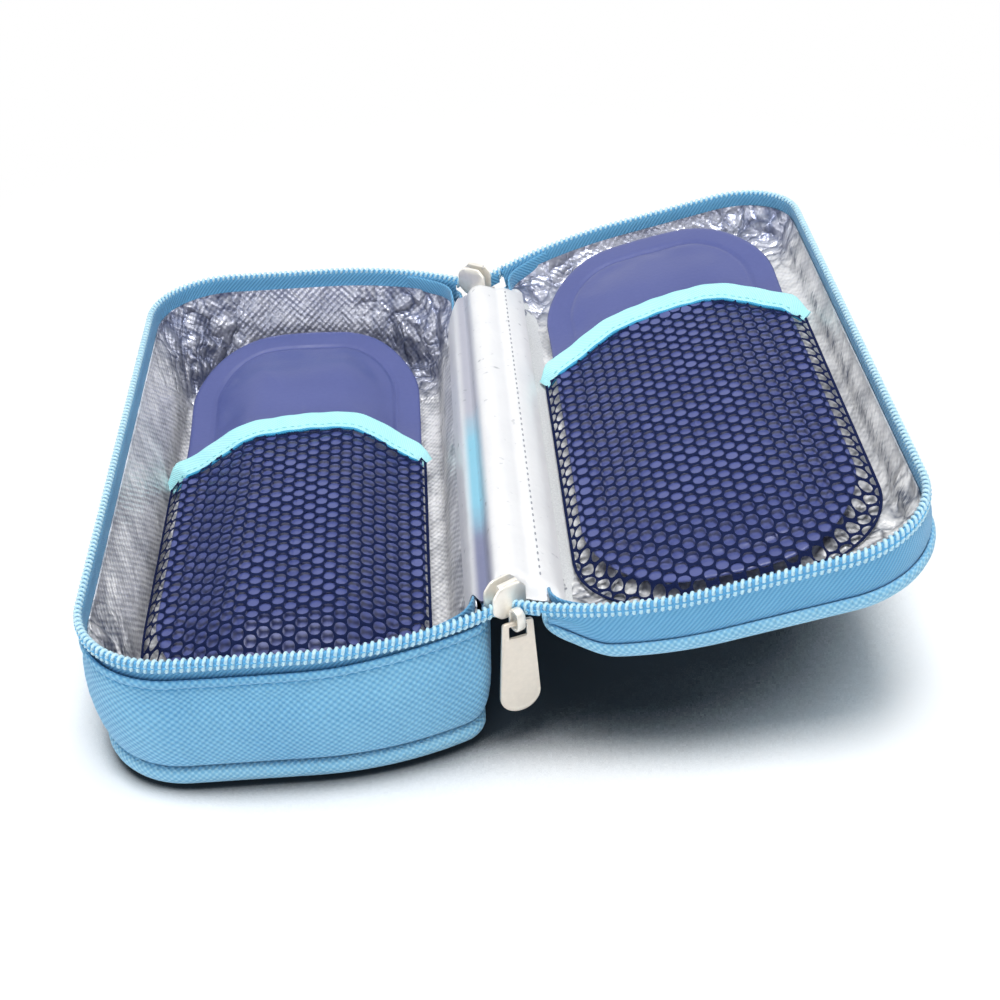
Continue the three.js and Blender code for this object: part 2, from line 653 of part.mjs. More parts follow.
// Each half hangs from the hinge line; the base is the same layout turned about z.
const base = new THREE.Group();
base.position.set(HINGE_X, 0, BASE_HEIGHT);
base.rotation.z = Math.PI;
part.add(base);
const lid = new THREE.Group();
lid.position.set(HINGE_X, 0, BASE_HEIGHT);
lid.rotation.y = -LID_TILT;
part.add(lid);

place(base, "base_bottom_panel", bottomPanel, CASE_CLOTH, 0, 0, 0);
place(base, "base_wall", wall, CASE_CLOTH, 0, 0, 0);
place(base, "base_foam_bottom", foamBottom, FOAM, 0, 0, 0);
place(base, "base_foam_wall", foamWall, FOAM, 0, 0, 0);
place(base, "base_foil_liner", baseLiner, FOIL_LINING, 0, 0, 0);
place(base, "base_zip_tape", baseTape, ZIP_TAPE, 0, 0, 0);
place(base, "base_zip_coil", zipStrip(BASE_COIL_START, coilSection), ZIP_COIL, 0, 0, 0);
place(lid, "lid_panel", lidPanel, CASE_CLOTH, 0, 0, 0);
place(lid, "lid_foam", lidFoam, FOAM, 0, 0, 0);
place(lid, "lid_foil_liner", lidLiner, FOIL_LINING, 0, 0, 0);
place(lid, "lid_spine_wall", lidSpineWall, CASE_CLOTH, 0, 0, 0);
place(lid, "lid_zip_tape", lidTape, ZIP_TAPE, 0, 0, 0);
place(lid, "lid_zip_coil", zipStrip(LID_COIL_START, coilSection), ZIP_COIL, 0, 0, 0);

// Pack, net and binding of one half; `turn` is half a turn in the base so that mouths face the rear.
function fillHalf(group, prefix, linerFloor, crown, mouth, turn) {
  const contents = new THREE.Group();
  contents.rotation.z = turn;
  group.add(contents);
  const side = Math.cos(turn);
  const seal = linerFloor + FOIL + FIT + FIT / 2 + FILM + crown;
  const lowerFilm = packFilm(crown);
  lowerFilm.rotateX(Math.PI);
  place(contents, `${prefix}_pack_front_film`, packFilm(crown), PACK_FILM, side * packU, 0, seal);
  place(contents, `${prefix}_pack_back_film`, lowerFilm, PACK_FILM, side * packU, 0, seal);
  place(contents, `${prefix}_pack_gel`, packGel(crown), GEL, side * packU, 0, seal);
  const netFoot = seal + FIT / 2 + FILM + crown + FIT;
  const netShift = side * netU - netU;
  place(contents, `${prefix}_mesh_pocket`, pocketNet(mouth), NET, netShift, 0, netFoot);
  const bindingFoot = netFoot + NET_THICKNESS + FIT;
  place(contents, `${prefix}_pocket_binding`, mouthBinding(mouth), BINDING, netShift, 0, bindingFoot);
}
const baseMouth = { side: netFront + BASE_POCKET_SIDE, middle: netFront + BASE_POCKET_MIDDLE };
const lidMouth = { side: netFront + LID_POCKET_SIDE, middle: netFront + LID_POCKET_MIDDLE };
fillHalf(base, "base", baseLinerFloor, BASE_PACK_CROWN, baseMouth, Math.PI);
fillHalf(lid, "lid", lidLinerFloor, LID_PACK_CROWN, lidMouth, 0);

place(part, "spine_outer_cloth", spineCloth, CASE_CLOTH, HINGE_X, 0, BASE_HEIGHT);
place(part, "spine_liner", spineLiner, WHITE_LINING, HINGE_X, 0, BASE_HEIGHT);

// A slider waits at each end of the zip.
for (const [prefix, end, turn] of [["front", -1, sliderAngle], ["rear", 1, Math.PI - sliderAngle]]) {
  const slider = new THREE.Group();
  slider.position.set(HINGE_X, end * sliderY, BASE_HEIGHT);
  slider.rotation.z = turn;
  part.add(slider);
  place(slider, `${prefix}_slider_body`, sliderBody(), NICKEL, 0, 0, 0);
  place(slider, `${prefix}_slider_bail`, sliderBail(), NICKEL, 0, 0, 0);
  const pull = new THREE.Group();
  pull.position.set(0, bailY, bailLow);
  pull.rotation.z = end * PULL_TWIST;
  slider.add(pull);
  place(pull, `${prefix}_pull_tab`, pullTab(), NICKEL, 0, 0, 0);
}

export default part;
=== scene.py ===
"""Insulin cooling case lying open: cloth shell, zip, foil trays, net pockets and two gel packs.

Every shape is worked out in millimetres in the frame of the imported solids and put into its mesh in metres.
Each half of the case has its own co-ordinates: u from the hinge line outwards, v along the case and
h up from the plane in which the two zip rows meet.
"""

import bpy
import numpy as np
from mathutils import Matrix, Vector


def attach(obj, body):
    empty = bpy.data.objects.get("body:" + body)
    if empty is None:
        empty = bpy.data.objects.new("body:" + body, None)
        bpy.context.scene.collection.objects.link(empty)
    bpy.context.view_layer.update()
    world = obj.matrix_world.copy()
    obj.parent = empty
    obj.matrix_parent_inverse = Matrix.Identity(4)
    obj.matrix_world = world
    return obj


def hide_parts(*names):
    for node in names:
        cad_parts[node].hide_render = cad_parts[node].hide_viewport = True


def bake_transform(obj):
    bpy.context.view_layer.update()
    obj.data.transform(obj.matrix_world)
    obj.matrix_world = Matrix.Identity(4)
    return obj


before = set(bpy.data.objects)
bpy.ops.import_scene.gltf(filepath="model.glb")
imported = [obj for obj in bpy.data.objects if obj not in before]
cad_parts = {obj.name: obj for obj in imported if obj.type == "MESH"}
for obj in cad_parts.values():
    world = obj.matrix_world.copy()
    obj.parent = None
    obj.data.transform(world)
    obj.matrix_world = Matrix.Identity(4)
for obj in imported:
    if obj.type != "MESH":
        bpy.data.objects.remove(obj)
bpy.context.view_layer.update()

MM = 0.001
TAU = 2 * np.pi

# Plan of one half.
HINGE_X = 50.0
RIM_Z = 42.0
LID_TILT = np.radians(13.0)
OUTER_U = 100.0
SIDE_V = 95.0
CORNER_R = 24.0
CORNER_U = OUTER_U - CORNER_R
CORNER_V = SIDE_V - CORNER_R
SWEEP_R = 86.0
SWEEP_U = 47.0
SWEEP_V = SIDE_V - SWEEP_R
BASE_GAP = 4.0
LID_GAP = 6.5
MIDDLE_U = 53.0

# Points along each stretch of the plan.
TURN_STEPS = 8
SWEEP_STEPS = 44
STRAIGHT_STEPS = 20
CORNER_STEPS = 28
SIDE_STEPS = 90
SPINE_STEPS = 80

# Zip.
COIL_PITCH = 1.62
COIL_MIDDLE = -2.35
COIL_INSET = 0.9
COIL_HALF_DEPTH = 0.85
COIL_HALF_HEIGHT = 1.5
COIL_WIRE = 0.92
BASE_COIL_START = 1.4
LID_COIL_START = 8.7
LID_TAIL_START = 1.6

# Zip sliders, in their own frame: x along the zip, -y outwards, z up.
SLIDER_Y = 79.824
SLIDER_TURN = np.radians(33.568)
BAIL_Y = -4.5
BAIL_HIGH = -2.9
BAIL_LOW = -4.9
BAIL_ROUND = 1.6
PULL_TWIST = np.radians(15.0)


# Co-ordinates

def base_at(u, v, h):
    """The base half: a half turn about the middle of the hinge line."""
    return np.stack(np.broadcast_arrays(HINGE_X - u, -v, RIM_Z + h), -1)


def tilted(u, h):
    """A lid point's x and z from the hinge line: turned up by LID_TILT."""
    return u * np.cos(LID_TILT) - h * np.sin(LID_TILT), u * np.sin(LID_TILT) + h * np.cos(LID_TILT)


def lid_at(u, v, h):
    """The lid half: tilted up about the hinge line."""
    x, z = tilted(u, h)
    return np.stack(np.broadcast_arrays(HINGE_X + x, v, RIM_Z + z), -1)


HALVES = {"base": (base_at, BASE_GAP), "lid": (lid_at, LID_GAP)}


def upright_of(at):
    """The upright direction of a half."""
    return at(0, 0, 1) - at(0, 0, 0)


def slider_at(end):
    """Map from a slider's own frame into the case: end is -1 at the front and 1 at the rear."""
    turn = SLIDER_TURN if end < 0 else np.pi - SLIDER_TURN
    cos, sin = np.cos(turn), np.sin(turn)

    def place(x, y, z):
        return np.stack(np.broadcast_arrays(
            HINGE_X + x * cos - y * sin, end * SLIDER_Y + x * sin + y * cos, RIM_Z + z), -1)

    return place


def sweep(inset, start, turn=0.0):
    """The sweeping arc drawn in by inset, from turn past u = start to the straight front."""
    reach = SWEEP_R - inset
    angle = np.linspace(np.arcsin((SWEEP_U - start) / reach) - turn / reach, 0, SWEEP_STEPS)
    return np.stack([SWEEP_U - reach * np.sin(angle), -SWEEP_V - reach * np.cos(angle)], -1)


def outer_side(inset):
    """The outer side drawn in by inset, between the round corners."""
    v = np.linspace(-CORNER_V, CORNER_V, SIDE_STEPS)[1:-1]
    return np.stack([np.full_like(v, OUTER_U - inset), v], -1)


def outline(inset, gap, turn=3.0):
    """Plan of one half drawn in by inset, as one closed loop: a rounded spine corner, the sweeping arc,
    the straight front, the round corner, the outer side and the mirror of these, then the spine side."""
    start = gap + inset
    arc = sweep(inset, start, turn)
    tip = np.array([start, sweep(inset, start)[0, 1]])
    knee = tip + np.array([0, turn])
    t = np.linspace(0, 1, TURN_STEPS, endpoint=False)[:, None]
    bend = (1 - t) ** 2 * knee + 2 * t * (1 - t) * tip + t * t * arc[0]
    half = np.concatenate([bend, arc, front_corner(inset)])
    spine_v = np.linspace(-knee[1], knee[1], SPINE_STEPS)[1:-1]
    spine = np.stack([np.full_like(spine_v, start), spine_v], -1)
    return np.concatenate([half, outer_side(inset), half[::-1] * (1, -1), spine])


def front_corner(inset):
    """The straight front and the round outer corner, drawn in by inset."""
    u = np.linspace(SWEEP_U, CORNER_U, STRAIGHT_STEPS)[1:-1]
    straight = np.stack([u, np.full_like(u, inset - SIDE_V)], -1)
    angle = np.linspace(-np.pi / 2, 0, CORNER_STEPS)
    radius = CORNER_R - inset
    corner = np.stack([CORNER_U + radius * np.cos(angle), -CORNER_V + radius * np.sin(angle)], -1)
    return np.concatenate([straight, corner])


def rim(inset, start):
    """The zip's side of the plan, drawn in by inset: an open line from u = start at the front, round the
    outer side, to u = start at the rear."""
    half = np.concatenate([sweep(inset, start), front_corner(inset)])
    return np.concatenate([half, outer_side(inset), half[::-1] * (1, -1)])


# Curves and fields

def lengths(path, closed=False):
    """Distance along a line of points; a closed one ends with its whole length."""
    ring = np.concatenate([path, path[:1]]) if closed else path
    return np.concatenate([[0], np.cumsum(np.linalg.norm(np.diff(ring, axis=0), axis=-1))])


def even(path, step, closed=False):
    """Points at even distances of about step along a line, and their distances."""
    ring = np.concatenate([path, path[:1]]) if closed else path
    far = lengths(ring)
    count = max(2, int(round(far[-1] / step)))
    at = np.linspace(0, far[-1], count, endpoint=not closed)
    return np.stack([np.interp(at, far, ring[:, k]) for k in range(ring.shape[1])], -1), at


def flowing(points, count):
    """Catmull-Rom curve through points, with count points along it."""
    knots = np.asarray(points, float)
    padded = np.concatenate([2 * knots[:1] - knots[1:2], knots, 2 * knots[-1:] - knots[-2:-1]])
    at = np.linspace(0, len(knots) - 1, count)
    k = np.minimum(at.astype(int), len(knots) - 2)
    t = (at - k)[:, None]
    a, b, c, d = (padded[k + n] for n in range(4))
    square, cube = 2 * a - 5 * b + 4 * c - d, 3 * b - a - 3 * c + d
    return 0.5 * (2 * b + (c - a) * t + square * t ** 2 + cube * t ** 3)


def unit(vectors):
    """Vectors brought to length one."""
    return vectors / np.maximum(np.linalg.norm(vectors, axis=-1, keepdims=True), 1e-9)


def smooth(t):
    """0 below 0, 1 above 1, an S-shaped rise between."""
    t = np.clip(t, 0, 1)
    return t * t * (3 - 2 * t)


def ripples(points, wavelength, seed, waves=14):
    """Smooth uneven field of about -1 to 1: plane waves in seeded directions, added up."""
    draw = np.random.default_rng(seed)
    ways = unit(draw.normal(size=(waves, 3)))
    pitch = wavelength * draw.uniform(0.7, 1.5, waves)
    phase = draw.uniform(0, TAU, waves)
    return np.sin(points @ (ways * (TAU / pitch)[:, None]).T + phase).sum(-1) / np.sqrt(2 * waves)


def creases(points, wavelength, seed):
    """Crumpled field of 0 to about 1: sharp crests where two uneven fields pass through zero."""
    broad = np.minimum(1, 1.6 * np.abs(ripples(points, wavelength, seed)))
    fine = np.minimum(1, np.abs(ripples(points, wavelength * 0.45, seed + 1)))
    return (1 - broad) * 0.7 + 0.3 * (1 - fine)


def facing(points, wrap_rows, wrap_cols):
    """Unit normals of a grid, from the steps to its neighbours."""
    def step(axis, wrap):
        if wrap:
            return np.roll(points, -1, axis) - np.roll(points, 1, axis)
        return np.gradient(points, axis=axis)
    return unit(np.cross(step(1, wrap_cols), step(0, wrap_rows)))


# Meshes

def grid_part(points, wrap_rows=False, wrap_cols=False, across=None, along=None, ends=False):
    """Quads over a grid of points (rows, columns, xyz), or over many copies of one, joined round where it
    wraps and closed by a face over the first and the last row if it has ends. across and along give each
    column's and row's distance for the UV. A closed shape that comes out inside out is turned."""
    points = np.asarray(points, float)
    if points.ndim == 3:
        points = points[None]
    copies, rows, cols, _ = points.shape
    i, j = np.meshgrid(np.arange(rows - (not wrap_rows)), np.arange(cols - (not wrap_cols)), indexing="ij")
    corner_i = np.stack([i, i, i + 1, i + 1], -1).reshape(-1, 4)
    corner_j = np.stack([j, j + 1, j + 1, j], -1).reshape(-1, 4)
    across = np.arange(cols + 1.0) if across is None else across
    along = np.arange(rows + 1.0) if along is None else along
    groups = [((corner_i % rows) * cols + corner_j % cols, np.stack([across[corner_j], along[corner_i]], -1))]
    if ends:
        turn = np.arange(cols)
        caps = np.stack([turn[::-1], turn + (rows - 1) * cols])
        groups.append((caps, np.stack([across[caps % cols], along[caps // cols]], -1)))
    first = points[0].reshape(-1, 3) - points[0].mean((0, 1))
    fans = [(first[loops[:, :1]], first[loops[:, 1:-1]], first[loops[:, 2:]]) for loops, _ in groups]
    volume = sum((a * np.cross(b, c)).sum() for a, b, c in fans)
    if volume < 0:
        groups = [(loops[:, ::-1], uv[:, ::-1]) for loops, uv in groups]
    start = (np.arange(copies) * rows * cols)[:, None, None]
    groups = [
        ((loops + start).reshape(-1, loops.shape[1]), np.tile(uv, (copies, 1, 1))) for loops, uv in groups]
    return points.reshape(-1, 3), groups


def make_piece(name, parts, finish, body, stands_for=(), crease=40):
    """Joins parts into one mesh object with its UV, material, slot and body. Edges sharper than crease
    degrees stay sharp. A piece without a body is left without a parent."""
    counts, corners, uvs, first = [], [], [], 0
    for points, groups in parts:
        for loops, uv in groups:
            counts.append(np.full(len(loops), loops.shape[1]))
            corners.append((loops + first).ravel())
            uvs.append(uv.reshape(-1, 2))
        first += len(points)
    points = np.concatenate([part[0] for part in parts]) * MM
    counts, corners, uvs = np.concatenate(counts), np.concatenate(corners), np.concatenate(uvs)
    mesh = bpy.data.meshes.new(name)
    mesh.vertices.add(len(points))
    mesh.vertices.foreach_set("co", points.astype(np.float32).ravel())
    mesh.loops.add(len(corners))
    mesh.loops.foreach_set("vertex_index", corners.astype(np.int32))
    mesh.polygons.add(len(counts))
    mesh.polygons.foreach_set("loop_start", np.concatenate([[0], np.cumsum(counts)[:-1]]).astype(np.int32))
    mesh.update(calc_edges=True)
    mesh.uv_layers.new(name="lay").uv.foreach_set("vector", uvs.astype(np.float32).ravel())
    mesh.shade_smooth()
    mesh.set_sharp_from_angle(angle=np.radians(crease))
    mesh.materials.append(finish.material)
    piece = bpy.data.objects.new(name, mesh)
    bpy.context.scene.collection.objects.link(piece)
    if stands_for:
        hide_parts(*stands_for)
    if body:
        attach(piece, body)
    return piece


def ring_loft(profile, gap, at, turn=3.0):
    """A profile of (inset, h, share) carried round the plan: share below 1 draws the ring in towards the
    middle of the half. Returns the grid (rows along the profile, columns round the plan)."""
    profile = np.asarray(profile, float)
    share = profile[:, 2] if profile.shape[1] > 2 else np.ones(len(profile))
    plan = np.stack([outline(inset, gap, turn) for inset in profile[:, 0]])
    middle = np.array([MIDDLE_U, 0.0])
    plan = middle + (plan - middle) * share[:, None, None]
    return at(plan[..., 0], plan[..., 1], profile[:, 1][:, None])


def capped_part(grid, row):
    """A grid whose rows close round, with a face over its first and last row. The given row sets the UV's
    distance round it."""
    return grid_part(grid, False, True, lengths(grid[row], True), lengths(grid[:, 0], True), ends=True)


def two_sided(middle, thickness, wrap_cols):
    """Both sides of a sheet as one run of rows: the front from last row to first, then the back."""
    push = facing(middle, False, wrap_cols) * (thickness / 2)
    return np.concatenate([(middle + push)[::-1], middle - push])


def carried(path, side, up, section):
    """A closed section carried along a path: section points (a, b) go a along side and b along up."""
    return path[:, None] + section[None, :, :1] * side[:, None] + section[None, :, 1:] * up[:, None]


def axes_along(path, up, closed=False):
    """Unit direction, side and upright of each point of a path."""
    if closed:
        way = unit(np.roll(path, -1, 0) - np.roll(path, 1, 0))
    else:
        way = unit(np.gradient(path, axis=0))
    side = unit(np.cross(way, up))
    return way, side, np.cross(side, way)


def oval(width, height, steps, power=1.0):
    """An oval section; a power below 1 squares it off."""
    angle = np.linspace(0, TAU, steps, endpoint=False)
    turn = np.stack([np.cos(angle), np.sin(angle)], -1)
    return np.array([width, height]) / 2 * np.sign(turn) * np.abs(turn) ** power


def tube_part(path, up, section):
    """A section carried along a path, as a closed part."""
    _, side, upright = axes_along(path, up)
    around = lengths(section, closed=True)
    grid = carried(path, side, upright, section)
    return grid_part(grid, False, True, around, lengths(path, closed=True), ends=True)


def stitch_part(path, up, length, radius, closed=False, pitch=None):
    """A row of thread stitches along a path: each one a short capsule that dips in at both ends."""
    up = np.broadcast_to(up, path.shape)
    points, at = even(path, pitch or length * 1.3, closed)
    far = lengths(path, closed)
    up = np.concatenate([up, up[:1]])[:len(far)]
    up = np.stack([np.interp(at, far, up[:, k]) for k in range(3)], -1)
    way, side, upright = axes_along(points, up, closed)
    t = np.array([-0.5, -0.42, -0.2, 0.2, 0.42, 0.5])
    thick = np.array([0.25, 0.75, 1, 1, 0.75, 0.25]) * radius
    dip = np.array([-0.7, -0.3, 0.1, 0.1, -0.3, -0.7]) * radius
    angle = np.linspace(0, TAU, 6, endpoint=False)
    run = points[:, None] + t[:, None] * length * way[:, None] + dip[:, None] * upright[:, None]
    spread = np.cos(angle)[:, None] * side[:, None, None] + np.sin(angle)[:, None] * upright[:, None, None]
    return grid_part(run[:, :, None] + thick[:, None, None] * spread, False, True, ends=True)


# Finishes

class Value:
    """An output of a shader node; arithmetic on it adds Math nodes."""

    def __init__(self, nodes, socket):
        self.nodes, self.socket = nodes, socket

    def _math(self, operation, *operands):
        return self.nodes.node("ShaderNodeMath", {"operation": operation}, dict(enumerate(operands)))

    def __add__(self, other):
        return self._math("ADD", self, other)

    def __sub__(self, other):
        return self._math("SUBTRACT", self, other)

    def __rsub__(self, other):
        return self._math("SUBTRACT", other, self)

    def __mul__(self, other):
        return self._math("MULTIPLY", self, other)

    def __gt__(self, other):
        return self._math("GREATER_THAN", self, other)

    def __abs__(self):
        return self._math("ABSOLUTE", self)

    __radd__ = __add__
    __rmul__ = __mul__

    def as_(self, operation, *others):
        """Any other Math node on this value, such as SINE or FRACT."""
        return self._math(operation, self, *others)

    def clamped(self):
        """This value held between 0 and 1."""
        return self.as_("MAXIMUM", 0.0).as_("MINIMUM", 1.0)


class Nodes:
    """A node tree of a material or of the world, to which nodes are added."""

    def __init__(self, tree):
        self.tree = tree

    def join(self, socket, value):
        """Links a socket to a value, or sets it to a constant."""
        if isinstance(value, Value):
            self.tree.links.new(value.socket, socket)
        else:
            socket.default_value = value

    def node(self, kind, settings, inputs, output=0):
        """Adds a node of a kind, with its settings first and then the values or links of its sockets."""
        made = self.tree.nodes.new(kind)
        for key, value in settings.items():
            setattr(made, key, value)
        for key, value in inputs.items():
            self.join(made.inputs[key], value)
        return Value(self, made.outputs[output])

    def split(self, vector):
        """The three parts of a vector."""
        return [self.node("ShaderNodeSeparateXYZ", {}, {0: vector}, k) for k in range(3)]

    def rise(self, value, low, high, start=0.0, end=1.0):
        """S-shaped change from start to end while value runs from low to high."""
        return self.node("ShaderNodeMapRange", {"interpolation_type": "SMOOTHSTEP"}, {
            "Value": value, "From Min": low, "From Max": high, "To Min": start, "To Max": end})

    def ray(self, kind):
        """1 for rays of a kind, such as Is Camera Ray, and 0 for others."""
        return self.node("ShaderNodeLightPath", {}, {}, kind)


class Finish(Nodes):
    """A material: a principled shader whose constant sockets are set here, and nodes that vary the rest."""

    def __init__(self, name, colour, roughness, **sockets):
        self.material = bpy.data.materials.new(name)
        self.material.use_nodes = True
        super().__init__(self.material.node_tree)
        self.shader = self.tree.nodes["Principled BSDF"]
        self.feed("Base Color", (*colour, 1))
        self.feed("Roughness", roughness)
        for socket, value in sockets.items():
            self.feed(socket.replace("_", " "), value)

    def feed(self, socket, value):
        """Links or sets a socket of the shader."""
        self.join(self.shader.inputs[socket], value)

    def lay(self):
        """The two distances of the piece's own UV, in millimetres."""
        return self.split(self.node("ShaderNodeUVMap", {"uv_map": "lay"}, {}))[:2]

    def place(self):
        """Object co-ordinates, in metres."""
        return self.node("ShaderNodeTexCoord", {}, {}, "Object")

    def noise(self, scale, detail=3.0, roughness=0.5, vector=None):
        """Noise of 0 to 1, scale patches to the metre."""
        return self.node("ShaderNodeTexNoise", {}, {
            "Vector": vector or self.place(), "Scale": scale, "Detail": detail, "Roughness": roughness})

    def mix(self, factor, first, second):
        """Colour between first and second."""
        inputs = {0: factor, 6: first, 7: second}
        inputs = {k: (*v, 1) if isinstance(v, tuple) and len(v) == 3 else v for k, v in inputs.items()}
        return self.node("ShaderNodeMix", {"data_type": "RGBA", "clamp_factor": True}, inputs, 2)

    def bump(self, height, depth, strength=1.0):
        """Relief of depth metres where height runs from 0 to 1."""
        self.feed("Normal", self.node(
            "ShaderNodeBump", {}, {"Height": height, "Distance": depth, "Strength": strength}))


def wave(value, pitch):
    """Sine of a distance in millimetres, one wave to a pitch."""
    return (value * (TAU / pitch)).as_("SINE")


def woven(name, dark, light, across, upward, depth, **sockets):
    """Cloth whose yarn crossings stand up as small diamonds: the product of two sines. On level panels the
    yarn runs straight across the case, and on walls it follows their own lay."""
    cloth = Finish(name, light, 0.8, **sockets)
    x, y = cloth.lay()
    facing_up = abs(cloth.split(cloth.node("ShaderNodeTexCoord", {}, {}, "Normal"))[2])
    level = ((facing_up - 0.86) * 10.0).clamped()
    plan_x, plan_y = (value * (1 / MM) for value in cloth.split(cloth.place())[:2])
    crossing = wave(x, across) * wave(y, upward) * (1.0 - level)
    crossing = crossing + wave(plan_x, across) * wave(plan_y, upward) * level
    knots = (crossing * 0.75 + 0.5).as_("SMOOTH_MAX", 0.0, 0.2)
    patches = cloth.noise(60.0, 4.0) * 0.7 + cloth.noise(1400.0, 2.0) * 0.5 - 0.1
    shade = knots * 0.5 + patches * 0.5 - 0.02
    cloth.feed("Base Color", cloth.mix(shade, dark, light))
    cloth.feed("Roughness", 0.9 - knots * 0.2)
    cloth.bump(knots * 0.8 + cloth.noise(1800.0, 2.0) * 0.4, depth, 0.8)
    return cloth


def twill(name, dark, light, pitch, depth, **sockets):
    """Tape with slanting ribs: a sine of the sum of both distances, crossed by a finer one."""
    tape = Finish(name, light, 0.75, **sockets)
    x, y = tape.lay()
    ribs = wave(x + y, pitch) * 0.5 + 0.5
    yarn = wave(x - y * 0.6, pitch * 0.45) * 0.5 + 0.5
    shade = ribs * 0.55 + yarn * 0.15 + tape.noise(90.0, 4.0) * 0.35 - 0.05
    tape.feed("Base Color", tape.mix(shade, dark, light))
    tape.bump(ribs * 0.8 + yarn * 0.2, depth, 0.7)
    return tape


def bound_edge(name):
    """Binding tape: fine slanting ribs, bright on its face, with a painted shade of deep blue along the edge
    that is turned in at the front."""
    tape = Finish(name, (0.5, 0.94, 0.97), 0.7)
    x, y = tape.lay()
    ribs = wave(x + y, 0.8) * 0.5 + 0.5
    face = tape.mix(ribs * 0.5 + tape.noise(120.0, 4.0) * 0.5, (0.34, 0.84, 0.93), (0.58, 0.97, 0.98))
    # painted shade: the turned-in front edge of the band is coloured deep blue
    turned = abs(x - BINDING_ROUND * 0.5) > BINDING_ROUND * 0.5 - 0.9
    tape.feed("Base Color", tape.mix(turned, face, (0.05, 0.4, 0.68)))
    tape.bump(ribs, 0.00012, 0.6)
    return tape


def foil(name, middle_x, bright, metallic, crumpled, pressed, marked):
    """Silver film: flat facets that meet in sharp creases in the gathered corners of the tray, fine pressed
    diamonds, and dark feathery marks across the wall a little below its lip. Its colour carries painted shade
    and reflection: light and dark patches, dark lines in the creases and the diamonds' lit and shaded sides.
    middle_x is the tray's middle."""
    film = Finish(name, bright, 0.3)
    x, y = film.lay()
    emboss = wave(x, 2.2) * wave(y, 2.2) * 0.5 + 0.5
    place = film.place()
    stir = film.node("ShaderNodeTexNoise", {}, {"Vector": place, "Scale": 90.0, "Detail": 2.0}, "Color")
    stirred = film.node("ShaderNodeVectorMath", {"operation": "MULTIPLY_ADD"}, {
        0: stir, 1: (0.009, 0.009, 0.009), 2: place})
    upright = film.node("ShaderNodeVectorMath", {"operation": "MULTIPLY"}, {0: stirred, 1: (1, 1, 0.55)})
    wide, small = (film.node("ShaderNodeTexVoronoi", {"feature": "DISTANCE_TO_EDGE"}, {
        "Vector": upright, "Scale": scale}) for scale in (70.0, 190.0))
    across, along = film.split(place)[:2]
    uneven = film.noise(70.0, 4.0, 0.6)
    stray = (uneven - 0.5) * 0.03
    end = film.rise(abs(along) + stray, 0.05, 0.076)
    side = film.rise(abs(across - middle_x) + stray, 0.012, 0.03)
    crumple = (end * (side * 0.75 + 0.25) * 0.85 + side * 0.15 + 0.08) * crumpled
    # painted shade: dark lines along the creases of the small facets, strongest in the crumpled corners
    crease = 1.0 - (small * 4.5).as_("MINIMUM", 1.0)
    grain = film.noise(900.0, 3.0, 0.6)
    # dark feathery marks across the wall, along a band a little below its lip
    slanted = film.node("ShaderNodeCombineXYZ", {}, {0: x * 1.1 + y * 0.7, 1: y * 0.25})
    mark_noise = film.noise(1.0, 3.0, 0.6, slanted)
    band = 1.0 - (abs(y - 6.0) * 0.3).as_("MINIMUM", 1.0)
    dark_marks = ((mark_noise - 0.5) * 6.0).clamped() * band * marked
    # painted shade and reflection: random light and dark patches, the diamonds' lit and shaded sides, the
    # crease lines and the dark marks
    shade = (uneven - 0.5) * 1.7 + (emboss - 0.5) * pressed - crease * crumple * 0.75 - dark_marks * 0.9
    film.feed("Roughness", 0.22 + grain * 0.2)
    # towards the rear the film grows more metallic, and its colour goes over to a painted blue-violet
    # reflection of the pack
    rear = film.rise(along, 0.058, 0.076)
    film.feed("Metallic", rear * 0.45 + metallic)
    silver_and_painted_shade = film.mix(shade + grain * 0.3 + 0.66, (0.1, 0.12, 0.17), bright)
    film.feed("Base Color", film.mix(rear * 0.5, silver_and_painted_shade, (0.3, 0.33, 0.5)))
    film.bump((wide * 6.0 + small * 2.2) * crumple + emboss * pressed * 0.5 + grain * 0.12, 0.001)
    return film


def ridge_film(name):
    """White lining film of the spine: faint clouding, a few small dark nicks, and painted shade and
    reflection down in the fold beside the base that go from grey at the rear over pale blue to dark violet at
    the front."""
    film = Finish(name, (0.95, 0.95, 0.96), 0.4, Metallic=0.1)
    cloud = film.noise(55.0, 4.0, 0.6)
    across, along = film.split(film.place())[:2]
    along = along + (cloud - 0.5) * 0.02
    # painted shade and reflection in the fold: grey at the rear, dark violet at the front and a pale blue
    # patch between
    front = film.rise(along, -0.06, 0.0, 1.0, 0.0)
    pale_blue_reflection = film.rise(abs(along + 0.022), 0.012, 0.032, 1.0, 0.0)
    fold = film.rise(abs(across - (HINGE_X - 4.6) * MM), 0.0006, 0.0033, 1.0, 0.0)
    nicks = ((film.noise(420.0, 2.0, 0.4) - 0.68) * 9.0).clamped()
    white = film.mix(cloud, (0.8, 0.81, 0.84), (0.99, 0.99, 0.99))
    fold_shade_and_reflection = film.mix(pale_blue_reflection, film.mix(front, (0.38, 0.39, 0.48), (0.07, 0.09, 0.24)), (0.14, 0.5, 0.68))
    plain = film.mix(fold * 0.85, white, fold_shade_and_reflection)
    film.feed("Base Color", film.mix(nicks * 0.5, plain, (0.2, 0.22, 0.27)))
    film.bump(cloud, 0.0012, 0.6)
    return film


def shades(colour, dark, light):
    """A darker and a lighter shade of a colour."""
    return tuple(c * dark for c in colour), tuple(min(1, c * light) for c in colour)


def plain_thread(name, colour, roughness=0.7, **sockets):
    """Twisted thread: fine uneven shade along it."""
    thread = Finish(name, colour, roughness, **sockets)
    grain = thread.noise(2600.0, 2.0)
    thread.feed("Base Color", thread.mix(grain, *shades(colour, 0.75, 1.3)))
    thread.bump(grain, 0.0001, 0.5)
    return thread


